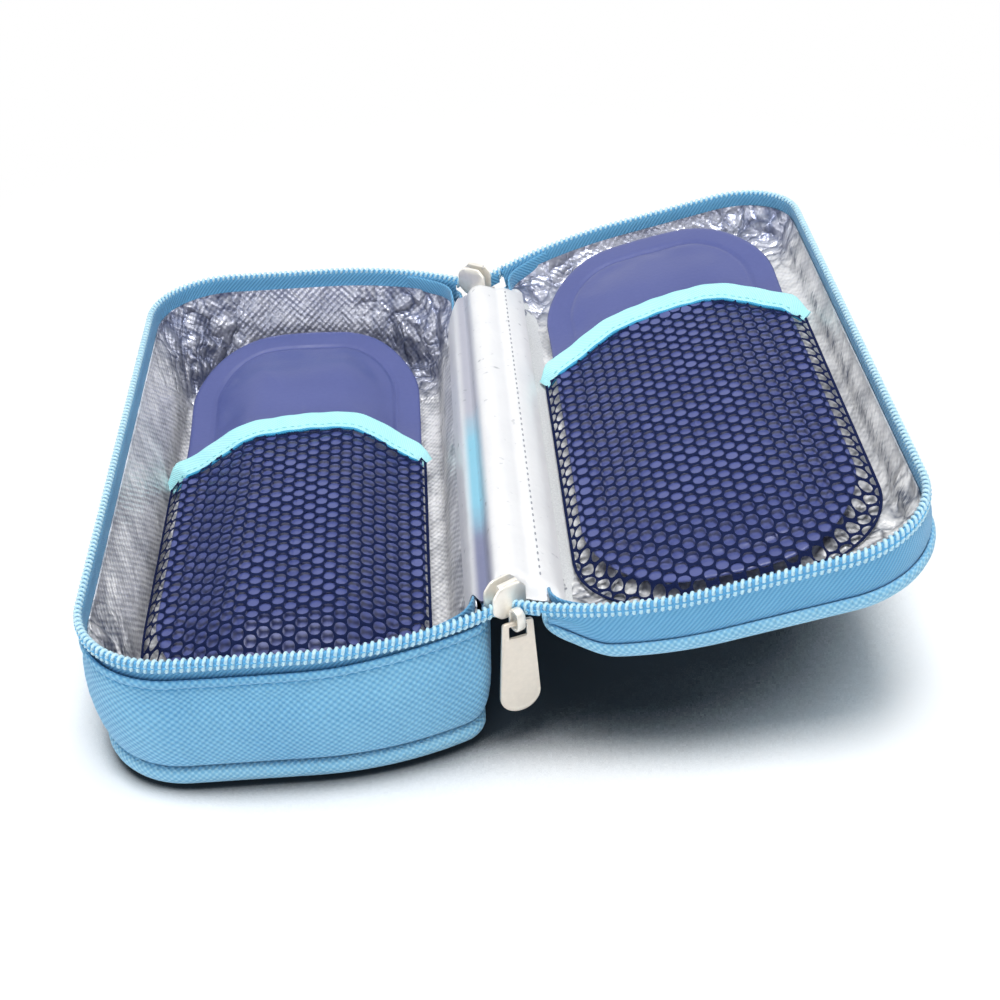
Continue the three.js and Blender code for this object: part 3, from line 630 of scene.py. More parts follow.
def coil_nylon(name):
    """Nylon coil: paler and darker in random patches."""
    nylon = Finish(name, (0.3, 0.58, 0.8), 0.38, Coat_Weight=0.15)
    worn = nylon.noise(500.0, 3.0)
    nylon.feed("Base Color", nylon.mix(worn, (0.4, 0.72, 0.91), (0.68, 0.91, 0.98)))
    nylon.feed("Roughness", 0.3 + worn * 0.2)
    nylon.bump(nylon.noise(3000.0, 2.0), 0.00006, 0.4)
    return nylon


def pack_film(name):
    """Blue-violet film of the packs: soft clouding and fine grain."""
    film = Finish(name, (0.1, 0.13, 0.36), 0.4, Coat_Weight=0.2, Coat_Roughness=0.25)
    cloud = film.noise(38.0, 3.0)
    grain = film.noise(900.0, 3.0)
    film.feed("Base Color", film.mix(cloud * 0.7 + grain * 0.3, (0.05, 0.07, 0.255), (0.1, 0.125, 0.345)))
    film.feed("Roughness", 0.26 + grain * 0.2)
    film.bump(cloud * 0.8 + grain * 0.2, 0.0006, 0.5)
    return film


def nickel(name, colour, roughness, metallic):
    """Plated metal: faint brushing and worn patches in its gloss."""
    plate = Finish(name, colour, roughness, Metallic=metallic)
    rub = plate.noise(700.0, 4.0, 0.6)
    plate.feed("Base Color", plate.mix(rub, *shades(colour, 0.86, 1.06)))
    plate.feed("Roughness", roughness - 0.08 + rub * 0.16)
    plate.bump(plate.noise(2200.0, 3.0), 0.00004, 0.5)
    return plate


BINDING_SECTION = oval(6.0, 1.3, 22, 0.55)
BINDING_ROUND = lengths(BINDING_SECTION, closed=True)[-1]
SHELL_DARK, SHELL_LIGHT = (0.05, 0.26, 0.54), (0.285, 0.635, 0.855)
PANEL_DARK, PANEL_LIGHT = (0.09, 0.35, 0.63), (0.42, 0.76, 0.93)
shell_cloth = woven("shell_cloth", SHELL_DARK, SHELL_LIGHT, 1.64, 1.85, 0.00035, Sheen_Weight=0.2)
panel_cloth = woven("panel_cloth", PANEL_DARK, PANEL_LIGHT, 1.6, 1.7, 0.00035, Sheen_Weight=0.2)
tape_cloth = twill("tape_cloth", (0.055, 0.27, 0.53), (0.19, 0.5, 0.76), 1.25, 0.0002, Sheen_Weight=0.2)
coil_finish = coil_nylon("coil_nylon")
core_finish = plain_thread("coil_core", (0.12, 0.4, 0.68))
hem_thread = plain_thread("hem_thread", (0.1, 0.36, 0.62))
coil_thread = plain_thread("coil_thread", (0.12, 0.42, 0.7))
base_foil = foil("base_foil", -0.003, (0.98, 0.98, 0.99), 0.1, 1.0, 0.38, 0.0)
lid_foil = foil("lid_foil", 0.1035, (0.99, 0.99, 0.99), 0.06, 0.9, 0.15, 1.0)
ridge_cloth = ridge_film("ridge_film")
ridge_thread = plain_thread("ridge_thread", (0.32, 0.34, 0.38))
net_yarn = plain_thread("net_yarn", (0.008, 0.015, 0.064), 0.85, Specular_IOR_Level=0.12)
binding_tape = bound_edge("binding_tape")
binding_thread = plain_thread("binding_thread", (0.3, 0.78, 0.9))
gel_film = pack_film("gel_film")
bright_nickel = nickel("bright_nickel", (0.95, 0.91, 0.84), 0.34, 0.45)
pull_nickel = nickel("pull_nickel", (0.8, 0.73, 0.64), 0.36, 0.65)
foam = plain_thread("foam", (0.75, 0.77, 0.8), 0.9)


# Shell

HEM_SAG = 0.9
HEM_FRONT_SAG = 0.7
HEM_RISE = 0.3
HEM_WAVE = 0.25
WALL_WAVE = 0.4
WALL_WAVE_H = -21.0
SEAM_PUCKER = 0.28
SEAM_H = -9.6


def hem_sag(u, v, points):
    """How far the sewn edge of the wall sags from its line: most along the front, none at the sliders."""
    sag = HEM_SAG + HEM_FRONT_SAG * smooth(-v / 60) * smooth((u - 20) / 30)
    return -sag * smooth((u - 8) / 34) + HEM_WAVE * ripples(points, 60.0, 11) + HEM_RISE


# Profiles are points of (inset, h), or of (inset, h, share) where they close towards the middle.
BASE_WALL = [
    (4.2, -34.6), (3.4, -34.75), (2.75, -34.4), (2.2, -33.6), (1.5, -31.8), (0.8, -29.0), (0.2, -25.5),
    (-0.25, -21.5), (-0.35, -17.5), (-0.15, -14.0), (0.15, -11.5), (0.3, -9.8), (0.4, -8.7), (0.6, -8.0),
    (0.72, -7.7), (0.55, -7.4), (0.2, -6.8), (0.05, -6.2), (0.12, -5.6), (0.45, -5.25), (0.95, -5.25),
    (1.35, -5.8), (1.5, -7.5), (1.45, -11.0), (1.4, -17.5), (1.8, -24.0), (2.8, -30.0), (3.9, -33.4),
    (4.5, -34.2)]

# Row of the wall's profile that the hem's stitches follow, and row of a panel's that sets the weave's lay.
STITCH_ROW = 14
EDGE_ROW = 9

# How far the plan's corner at the spine is rounded off.
SHELL_TURN = 4.0
TRAY_TURN = 7.0


def build_base_wall():
    """The base's cloth wall: a hem rolled over at the top, a sewn dimple under it that puckers the cloth,
    then a full soft wall that turns in to the foot."""
    profile = np.array(BASE_WALL)
    grid = ring_loft(profile, BASE_GAP, base_at, SHELL_TURN)
    out = facing(grid, True, True) * np.array([1, 1, 0])
    flat = profile[:, 1][:, None]
    soft = np.exp(-(((flat - WALL_WAVE_H) / 8) ** 2))
    sewn = np.exp(-(((flat - SEAM_H) / 2.2) ** 2))
    push = WALL_WAVE * soft * ripples(grid, 42.0, 5) + SEAM_PUCKER * sewn * ripples(grid, 8.0, 6)
    grid = grid + out * push[..., None]
    plan = outline(0.0, BASE_GAP, SHELL_TURN)
    grid[..., 2] += hem_sag(plan[:, 0], -plan[:, 1], grid) * smooth((flat + 15) / 8)
    wall = grid_part(grid, True, True, lengths(grid[0], True), lengths(grid[:, 0], True))
    make_piece("base_shell", [wall], shell_cloth, "base", ["base_wall"])
    row = grid[STITCH_ROW]
    up = unit(np.cross(np.roll(row, -1, 0) - np.roll(row, 1, 0), np.array([0, 0, 1.0])))
    make_piece("base_hem_stitches", [stitch_part(row + up * 0.1, up, 1.9, 0.26, True, 2.7)],
               hem_thread, "base", crease=80)


FOOT = [
    (14, -41.2, 0.03), (14, -41.2, 0.5), (14, -41.2, 1), (8, -41.2, 1), (5.6, -40.8, 1), (4.1, -39.8, 1),
    (3.7, -38.4, 1), (3.9, -36.6, 1), (4.1, -35.5, 1), (3.5, -35.35, 1), (2.8, -35.45, 1), (2.2, -35.9, 1),
    (1.9, -36.8, 1), (1.95, -37.9, 1), (2.3, -39.0, 1), (3.0, -40.2, 1), (4.1, -41.2, 1), (5.6, -41.8, 1),
    (8, -42.0, 1), (14, -42.0, 1), (14, -42.0, 0.5), (14, -42.0, 0.03)]


def build_foot():
    """The base's bottom panel, turned up round its edge into a full rounded band."""
    part = capped_part(ring_loft(FOOT, BASE_GAP, base_at, SHELL_TURN), EDGE_ROW)
    make_piece("base_foot", [part], panel_cloth, "base", ["base_bottom_panel"])


LID_PANEL = [
    (14, -18.2, 0.03), (14, -18.2, 0.5), (14, -18.2, 1), (7, -18.1, 1), (4, -17.6, 1), (2.4, -16.5, 1),
    (1.8, -15.4, 1), (1.7, -13.9, 1), (1.4, -13.2, 1), (0.95, -13.0, 1), (0.5, -13.2, 1), (0.25, -13.8, 1),
    (0.25, -14.6, 1), (0.5, -15.6, 1), (1.2, -16.8, 1), (2.3, -17.9, 1), (4.0, -18.7, 1), (7, -19.0, 1),
    (14, -19.0, 1), (14, -19.0, 0.5), (14, -19.0, 0.03)]


LID_ROUNDING = 6.0
LID_ROUNDING_RUN = 15.0

# Strip along the lid's spine side.
BAND_U = 7.6
BAND_H = -5.4
BAND_HALF_WIDTH = 0.5
BAND_HALF_HEIGHT = 2.1
BAND_HALF_LENGTH = 71.5


def spine_lift(u):
    """How far the lid's lower edge rises towards the spine, where the lid is rounded off."""
    return LID_ROUNDING * (1 - smooth((u - LID_GAP) / LID_ROUNDING_RUN))


def rounded_to_spine(grid, share=1.0):
    """A grid of the lid with its part next to the spine raised by its share of spine_lift."""
    u = (grid[..., 0] - HINGE_X) * np.cos(LID_TILT) + (grid[..., 2] - RIM_Z) * np.sin(LID_TILT)
    return grid + (share * spine_lift(u))[..., None] * upright_of(lid_at)


def build_lid_panel():
    """The lid's outer panel, turned up round its edge and rounded off towards the spine, and the strip of
    tape that closes the lid along the spine."""
    grid = rounded_to_spine(ring_loft(LID_PANEL, LID_GAP, lid_at, SHELL_TURN))
    make_piece("lid_shell", [capped_part(grid, EDGE_ROW)], panel_cloth, "lid", ["lid_panel"])
    v = np.linspace(-BAND_HALF_LENGTH, BAND_HALF_LENGTH, 60)[:, None]
    t = np.linspace(0, TAU, 14, endpoint=False)
    squared = np.sign(np.sin(t)) * np.abs(np.sin(t)) ** 0.5
    strip = lid_at(BAND_U + BAND_HALF_WIDTH * np.cos(t), v, BAND_H + BAND_HALF_HEIGHT * squared)
    make_piece("lid_spine_band", [grid_part(strip, False, True, ends=True)], tape_cloth, "lid",
               ["lid_spine_wall"])


# Zip

# Where each tape starts and ends, as u.
BASE_TAPE_START = 5.9
LID_TAPE_START = 8.4
TAIL_TAPE_START = 3.2
TAIL_TAPE_END = 8.8
TAIL_ROWS = 5

# Tucked ends of the tapes.
TUCK_REACH = 17.0
TUCK_LENGTH = 6.0
TUCK_H = -4.3
TUCK_DROP = 5.5
TUCK_RUN = 10.0

# Sections of the tapes as (inset, h); all share the edge that carries the coil.
TAPE_BACK = [(2.15, -4.6), (2.05, -3.0), (1.95, -1.9), (1.75, -1.55), (1.55, -1.8), (1.4, -2.6), (1.1, -3.0)]
BASE_TAPE = [
    (0.65, -3.0), (0.7, -3.9), (1.3, -4.6), (1.85, -5.2), (1.95, -6.0), (1.95, -9.4),
    (2.5, -9.4), (2.4, -6.4), *TAPE_BACK]
LID_TAPE = [
    (0.65, -3.0), (0.6, -4.2), (0.5, -5.5), (0.45, -7.0), (0.45, -8.6), (0.6, -10.2), (0.95, -11.8),
    (1.5, -13.0), (1.9, -13.9), (1.95, -14.6), (2.45, -14.6), (2.45, -13.0), (2.5, -11.0), (2.5, -9.0),
    (2.4, -6.4), *TAPE_BACK]
TAIL_TAPE = [(0.65, -3.0), (0.6, -4.0), (0.9, -4.7), (2.0, -4.7), *TAPE_BACK]


def build_tape(name, at, section, line, body, stands_for):
    """A zip tape: its section, as (inset, h), carried along the rim. line gives the rim at an inset."""
    section = np.array(section)
    grid = np.stack([line(inset) for inset in section[:, 0]], 1)
    high = np.broadcast_to(section[None, :, 1], grid.shape[:2])
    if body == "lid":
        high = high + spine_lift(grid[..., 0]) * smooth((-high - 4) / 7)
    grid = at(grid[..., 0], grid[..., 1], high)
    part = grid_part(grid, False, True, lengths(section, True), lengths(grid[:, 0], True), ends=True)
    return make_piece(name, [part], tape_cloth, body, stands_for)


def build_coil(name, at, line, body, stands_for):
    """A zip coil: wire wound as a tall helix round a core cord and drawn in half way up, where the sewing
    thread crosses each turn, so that it shows as two rows of beads."""
    line, far = even(line, COIL_PITCH / 12)
    path = at(line[:, 0], line[:, 1], np.full(len(line), COIL_MIDDLE))
    top = upright_of(at)
    _, side, up = axes_along(path, top)
    angle = (TAU * far / COIL_PITCH)[:, None]
    drawn_in = 1 - 0.5 * np.exp(-(np.sin(angle) / 0.4) ** 2)
    wire = path + COIL_HALF_DEPTH * drawn_in * np.cos(angle) * side + COIL_HALF_HEIGHT * np.sin(angle) * up
    wound = tube_part(wire, top, oval(COIL_WIRE, COIL_WIRE, 6))
    coil = make_piece(name, [wound], coil_finish, body, stands_for, crease=80)
    core = tube_part(even(path, 2.0)[0], top, oval(0.95, 2.5, 10))
    cord = make_piece(name + "_core", [core], core_finish, body, crease=80)
    rows = [stitch_part(path + side * reach, top, 1.2, 0.24, pitch=COIL_PITCH) for reach in (0.82, -0.82)]
    thread = make_piece(name + "_thread", rows, coil_thread, body, crease=80)
    return coil, cord, thread


def build_tape_tucks(half):
    """The inner ends of a zip tape: each turns the corner of the tray and is tucked down along the spine."""
    at, gap = HALVES[half]
    near, far = outline(2.1, gap, TRAY_TURN), outline(3.3, gap, TRAY_TURN)
    merge = smooth((near[:, :1] - gap - 6) / 10)
    turn = (far * (1 - merge) + near * merge)[:TURN_STEPS + SWEEP_STEPS]
    turn = turn[turn[:, 0] < gap + TUCK_REACH]
    spine = turn[0] + np.linspace(TUCK_LENGTH, 0, 7, endpoint=False)[:, None] * np.array([0, 1.0])
    line = np.concatenate([spine, turn])
    high = TUCK_H - TUCK_DROP * (1 - smooth(lengths(line) / TUCK_RUN))
    band = oval(0.8, 4.6, 14, 0.6)
    bands = [tube_part(at(line[:, 0], line[:, 1] * end, high), upright_of(at), band) for end in (1, -1)]
    make_piece(half + "_tape_tucks", bands, tape_cloth, half, crease=80)


def up_to(line, end):
    """The first stretch of a rim, up to u = end, and its mirror at the rear."""
    front = line[:SWEEP_STEPS]
    front = front[front[:, 0] <= end]
    return front, front * (1, -1)


def bend_with_lid(piece):
    """Bakes the piece's placement into its mesh; the piece is not bent with the lid."""
    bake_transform(piece)


def build_zip():
    """Both zip rows, and the tails of the lid's row that run on over the hinge into the sliders."""
    build_tape("base_tape", base_at, BASE_TAPE, lambda inset: rim(inset, BASE_TAPE_START), "base",
               ["base_zip_tape"])
    build_coil("base_coil", base_at, rim(COIL_INSET, BASE_COIL_START), "base", ["base_zip_coil"])
    build_tape("lid_tape", lid_at, LID_TAPE, lambda inset: rim(inset, LID_TAPE_START), "lid",
               ["lid_zip_tape"])
    build_coil("lid_coil", lid_at, rim(COIL_INSET, LID_COIL_START), "lid", ["lid_zip_coil"])
    build_tape_tucks("base")
    build_tape_tucks("lid")
    for name, pick in (("front", 0), ("rear", 1)):
        tail = up_to(rim(COIL_INSET, LID_TAIL_START), LID_COIL_START)[pick]
        pieces = [*build_coil(f"{name}_coil_tail", lid_at, tail, None, [])]
        pieces.append(build_tape(f"{name}_tape_tail", lid_at, TAIL_TAPE, lambda inset: up_to(
            rim(inset, TAIL_TAPE_START), TAIL_TAPE_END)[pick][:TAIL_ROWS], None, []))
        for piece in pieces:
            bend_with_lid(piece)


# Linings

BASE_LINER = [
    (2.6, -5.8), (2.75, -6.5), (3.0, -7.5), (3.35, -8.8), (3.8, -10.2), (4.3, -11.6), (4.8, -13.0),
    (5.3, -14.4), (5.8, -15.8), (6.25, -17.2), (6.7, -18.7), (7.1, -20.3), (7.5, -22.0), (7.8, -24.0),
    (8.1, -26.0), (8.4, -28.0), (8.7, -29.6), (9.3, -30.8), (10.4, -31.6), (12.0, -32.1), (14.0, -32.25),
    (16.0, -32.25)]
LID_LINER = [
    (2.6, -4.8), (2.75, -5.4), (3.15, -6.3), (3.85, -7.3), (4.6, -8.3), (5.2, -9.2), (5.7, -10.2),
    (6.2, -11.2), (6.9, -11.9), (8.0, -12.5), (9.6, -12.9), (11.6, -13.05), (14.0, -13.1), (16.0, -13.1)]

FOIL_THICK = 0.35
FOIL_CREASE = 0.3
FOIL_GATHER = 2.2
FOIL_CREASE_LENGTH = 13.0


def build_liner(half, profile, film, seed):
    """A foil tray: its lip, wall and floor as one sheet, crumpled inwards, most of all in the corners
    where the flat film is gathered."""
    at, gap = HALVES[half]
    inset, floor_h = profile[-1]
    floor = [(inset, floor_h, share) for share in (0.9, 0.75, 0.55, 0.3, 0.03)]
    rows = np.array([(inset, h, 1) for inset, h in profile] + floor)
    middle = ring_loft(rows, gap, at, TRAY_TURN)
    plan = np.abs(outline(8.0, gap, TRAY_TURN) - (MIDDLE_U, 0))
    round_corner = np.exp(-((plan[:, 1] - 80) / 14) ** 2) * smooth((plan[:, 0] - 12) / 18)
    depth = smooth((np.arange(len(rows)) - 1) / 6)
    gather = (FOIL_CREASE + FOIL_GATHER * round_corner)[None]
    lift = gather * depth[:, None] * creases(middle, FOIL_CREASE_LENGTH, seed)
    inwards = facing(middle, False, True)
    inwards *= np.sign((inwards[len(profile) - 1] * upright_of(at)).sum(-1).mean())
    middle = middle + inwards * lift[..., None]
    sides = two_sided(middle, FOIL_THICK, True)
    down = lengths(middle[:, 0])
    down = np.concatenate([down[::-1], down])
    part = grid_part(sides, False, True, lengths(middle[4], True), down, ends=True)
    tray = make_piece(half + "_lining", [part], film, half, [half + "_foil_liner"], crease=70)


RIDGE_SEAM = 8.75
RIDGE_THICK = 0.7
RIDGE_HALF_LENGTH = 71.0
RIDGE_STEP = 4.8
RIDGE_FLARE = 2.2
RIDGE_END_H = -3.6
RIDGE_WAVE = 0.35
FOLD_THICK = 0.8
FOLD_HALF_LENGTH = 71.9
MIDDLE_ROW = 60


def bent_sheet(middle, thickness):
    """A sheet about a grid of rows across the hinge, with both its sides and its edges, as one part."""
    loop = np.swapaxes(two_sided(np.swapaxes(middle, 0, 1), thickness, False), 0, 1)
    return capped_part(loop, MIDDLE_ROW)


def build_spine():
    """The two cloths across the hinge: the white ridge inside, from tray to tray over the fold, and the
    loose fold outside, from the base's hem to the lid's spine band."""
    ridge = flowing([
        (-9.0, -13.0), (-8.3, -9.5), (-7.7, -7.2), (-7.0, -5.4), (-6.0, -4.55), (-4.8, -4.35), (-3.7, -4.1),
        (-2.9, -2.9), (-2.5, -1.2), (-1.4, 0.6), (0.4, 1.6), (2.4, 1.5), (4.4, 0.6), (6.2, -0.4),
        tilted(8.0, -2.6), tilted(9.6, -4.0), tilted(11.2, -5.8), tilted(12.6, -8.0)], 86)
    reach = RIDGE_HALF_LENGTH + RIDGE_STEP * smooth((ridge[:, 0] + 7.5) / 2.2)
    reach = reach + RIDGE_FLARE * smooth((ridge[:, 0] - 2) / 8)
    share = np.linspace(-1, 1, 120)[:, None]
    ends = smooth((1 - np.abs(share)) * reach / 4)
    high = ridge[:, 1] * ends + np.minimum(ridge[:, 1], RIDGE_END_H) * (1 - ends)
    middle = np.stack(np.broadcast_arrays(HINGE_X + ridge[:, 0], share * reach, RIM_Z + high), -1).copy()
    middle[..., 2] += RIDGE_WAVE * ripples(middle, 55.0, 23) * smooth(ridge[None, :, 1] / 4 + 1.2)
    lining = make_piece("spine_lining", [bent_sheet(middle, RIDGE_THICK)], ridge_cloth, None,
                        ["spine_liner"], crease=70)
    seam = middle[5:-5, np.argmin(np.abs(ridge[:, 0] - RIDGE_SEAM))] + np.array([0, 0, 0.36])
    row = make_piece("spine_stitches", [stitch_part(seam, np.array([0.1, 0, 1.0]), 1.3, 0.22, pitch=2.6)],
                     ridge_thread, None, crease=80)
    fold = flowing([
        (-3.0, -8.6), (-3.5, -6.6), (-2.6, -5.0), (-0.4, -6.6), (1.4, -9.4), (3.6, -9.0), tilted(5.4, -6.6),
        tilted(6.6, -5.6), tilted(6.9, -7.6)], 40)
    y = np.linspace(-FOLD_HALF_LENGTH, FOLD_HALF_LENGTH, 110)[:, None]
    middle = np.stack(np.broadcast_arrays(HINGE_X + fold[:, 0], y, RIM_Z + fold[:, 1]), -1)
    outer = make_piece("spine_fold", [bent_sheet(middle, FOLD_THICK)], shell_cloth, None,
                       ["spine_outer_cloth"], crease=70)
    for piece in (lining, row, outer):
        bend_with_lid(piece)


PADDING_THICK = 2.0
PADDING = {
    "base": [(3.3, -15.0), (4.0, -20), (5.2, -32), (9, -36), (14, -37)],
    "lid": [(4.0, -9.5), (4.2, -12.0), (5.6, -14.6), (9, -15.6), (14, -15.6)],
}


def build_padding(half, nodes):
    """The foam between the shell and the tray, as one padded tray."""
    at, gap = HALVES[half]
    profile = PADDING[half]
    rows = [(i, h, 1) for i, h in profile] + [(14, profile[-1][1], s) for s in (0.6, 0.03)]
    middle = ring_loft(rows, gap, at, 6.0)
    if half == "lid":
        deep = smooth((-8.0 - np.array(rows)[:, 1]) / 6)
        middle = rounded_to_spine(middle, deep[:, None])
    sides = two_sided(middle, PADDING_THICK, True)
    part = grid_part(sides, False, True, lengths(middle[2], True), lengths(sides[:, 0], True), ends=True)
    piece = make_piece(half + "_padding", [part], foam, half, nodes)


# Packs and pockets

PACK_HALF_WIDTH = 34.0
PACK_HALF_LENGTH = 73.5
PACK_BOW = 7.0
PACK_CORNER = 24.0
PACK_FLANGE = 6.5
PACK_EDGE = 0.45
PACK_SWELL_RUN = 17.0
PACK_PUCKER = 0.22
PACK_WAVE = 0.3
PACK_SLACK = 0.28
GROOVE_INSET = 7.0
GROOVE_DEPTH = 0.55
GROOVE_WIDTH = 0.55
PACK_LIFT = {"base": 9.5, "lid": 7.5}
PACK_LIFT_START = 30.0
PACK_LIFT_RUN = 58.0

# Height of each pack's seal, its crown above that, and the seed of its waves.
PACKS = {"base": (-24.75, 6.2, 31), "lid": (-9.05, 2.8, 47)}


def room(half):
    """Map of a half whose second value runs towards the rear of the case."""
    return lid_at if half == "lid" else lambda u, y, h: base_at(u, -y, h)


def inside_pack(u, y):
    """Distance inside the pack's outline, below 0 outside it."""
    qx = np.abs(u - MIDDLE_U) - (PACK_HALF_WIDTH - PACK_CORNER)
    bow = PACK_BOW * (1 - ((u - MIDDLE_U) / PACK_HALF_WIDTH) ** 2)
    qy = np.abs(y) - bow - (PACK_HALF_LENGTH - PACK_CORNER)
    return PACK_CORNER - np.hypot(np.maximum(qx, 0), np.maximum(qy, 0)) - np.minimum(np.maximum(qx, qy), 0)


def swell(inside, crown):
    """Height of the pack's face above its seal, by distance inside its outline: a flat seal, then a
    pillow that flattens off."""
    return PACK_EDGE + crown * smooth((inside - PACK_FLANGE) / PACK_SWELL_RUN) ** 0.75


def pack_ring(inset):
    """The pack's outline drawn in by inset: a round-cornered oblong whose ends bow out."""
    a, b = PACK_HALF_WIDTH - inset, PACK_HALF_LENGTH - inset
    r = max(PACK_CORNER - inset, 0.4 * (PACK_HALF_WIDTH - inset))
    t = np.linspace(0, np.pi / 2, 22)
    corner = np.stack([a - r + r * np.cos(t), b - r + r * np.sin(t)], -1)
    run = np.linspace(-1, 1, 70)[1:-1, None] * np.array([0, b - r]) + np.array([a, 0])
    across = np.linspace(1, -1, 26)[1:-1, None] * np.array([a - r, 0]) + np.array([0, b])
    back = corner[::-1]
    loop = np.concatenate([run, corner, across, back * (-1, 1), -run, -corner, -across, back * (1, -1)])
    ends = smooth((np.abs(loop[:, 1]) - 40) / 34) * np.sign(loop[:, 1])
    loop[:, 1] += ends * PACK_BOW * (1 - (loop[:, 0] / PACK_HALF_WIDTH) ** 2)
    return loop


def build_pack(half):
    """A gel pack: a flat sealed flange, a pressed groove inside it and a slack pillow with soft waves. Its
    rear end curves up out of the pocket."""
    seal, crown, seed = PACKS[half]
    at = room(half)
    insets = np.array([0, 0.5, 1.5, 3, 4.6, 5.6, 6.2, 6.7, 7.2, 7.8, 8.6, 9.6, 11, 12.5, 14, 16, 18, 20, 22,
                       24.5, 27, 29.5, 31.5, 33, 33.8])
    loops = np.stack([pack_ring(i) for i in insets])
    u, y = MIDDLE_U - loops[..., 0], loops[..., 1]
    flat = np.stack([u, y, np.zeros_like(u)], -1)
    groove = GROOVE_DEPTH * np.exp(-((insets - GROOVE_INSET) / GROOVE_WIDTH) ** 2)[:, None]
    edge = np.minimum(1, 0.35 + insets / 0.8)[:, None]
    bulk = smooth((insets - GROOVE_INSET) / 6)[:, None]
    pucker = PACK_PUCKER * ripples(flat, 9.0, seed) * np.exp(-((insets - 9.5) / 3.0) ** 2)[:, None]
    slack = (PACK_SLACK + 0.05 * crown) * ripples(flat, 26.0, seed + 3) * bulk
    rear_lift = PACK_LIFT[half] * smooth((y - PACK_LIFT_START) / PACK_LIFT_RUN)
    waves = PACK_WAVE * ripples(flat, 30.0, seed + 7) * (1 - bulk)
    full = swell(insets, crown)[:, None] * edge
    rise = full - groove + pucker - np.abs(slack)
    top = at(u, y, seal + rise + rear_lift + waves)
    low = at(u, y, seal - full + rear_lift + waves)
    rows = np.concatenate([top[::-1], low])
    part = grid_part(rows, False, True, lengths(top[0], True), lengths(rows[:, 0], True), ends=True)
    piece = make_piece(half + "_gel_pack", [part], gel_film, half + "_pack",
                       [f"{half}_pack_front_film", f"{half}_pack_back_film", f"{half}_pack_gel"], crease=70)


NET_U = 53.2
NET_HALF = 37.4
NET_FRONT = -84.0
NET_CORNER = 25.0
NET_WIDE = 6.25
NET_LONG = 4.5
NET_LIFT = 0.35
NET_HOLE = (1.55, 1.75)
NET_ROUND = 2.2
NET_YARN = 0.22
NET_MARGIN = 0.5
NET_STOP = 3.4

# Binding of the pocket's mouth.
BINDING_DROP = 2.6
BINDING_LIFT = 1.0
BINDING_OVER = 0.4
BINDING_TUCK_RUN = 4.0

# Each net's mouth at its sides and at its top, how far that top leans, and its edges near and far as u.
NETS = {"base": (18.0, 32.0, 0.12, 18.0, 90.6), "lid": (28.0, 45.0, -0.15, 15.6, 90.6)}
TRAY_FLOOR = {"base": -29.8, "lid": -10.7}


def mouth(half, u):
    """Where the pocket's bound mouth lies along the case: an arch."""
    side, top, lean, _, _ = NETS[half]
    t = (u - NET_U) / NET_HALF
    t = t + lean * (1 - t * t)
    return side + (top - side) * (1 - t * t)


def drape(half, u, y):
    """Height of the net: it follows the pack's swell and falls away to its sewn edges beyond it."""
    seal, crown, _ = PACKS[half]
    inside = inside_pack(u, y)
    fall = np.minimum(inside, 0) * (1.1 if half == "base" else 0.7)
    high = seal + PACK_EDGE + crown * smooth((inside - 1) / 21.0) ** 0.8 + NET_LIFT + fall
    return np.maximum(high, TRAY_FLOOR[half])


def into_pocket(half, points, draw=0.0):
    """Points brought in to the pocket's outline drawn in by draw: its two sides, its mouth and its round
    front corners."""
    _, _, _, near, far = NETS[half]
    corner = NET_CORNER - draw
    u = np.clip(points[..., 0], near + draw, far - draw)
    y = np.clip(points[..., 1], NET_FRONT + draw, mouth(half, u) - NET_STOP - draw)
    heart_u = np.clip(u, near + NET_CORNER, far - NET_CORNER)
    heart = np.stack([heart_u, np.maximum(y, NET_FRONT + NET_CORNER)], -1)
    arm = np.stack([u, y], -1) - heart
    long = np.linalg.norm(arm, axis=-1, keepdims=True)
    in_corner = (arm[..., 1:] < 0) & (long > corner)
    return heart + arm * np.where(in_corner, corner / np.maximum(long, corner), 1)


def net_cell():
    """One cell of the net about its middle: its six-sided border and, in the same directions, its hole."""
    side, corner = np.array([NET_WIDE / 3, 0]), np.array([NET_WIDE / 6, NET_LONG / 2])
    right = side + (corner - side) * np.array([0, 1 / 3, 2 / 3, 1])[:, None]
    upper = np.concatenate([right, [(0, NET_LONG / 2)], right[:0:-1] * (-1, 1)])
    border = np.concatenate([upper, -upper])
    way = unit(border)
    reach = ((np.abs(way) / NET_HOLE) ** NET_ROUND).sum(-1, keepdims=True) ** (-1 / NET_ROUND)
    return border, way * reach


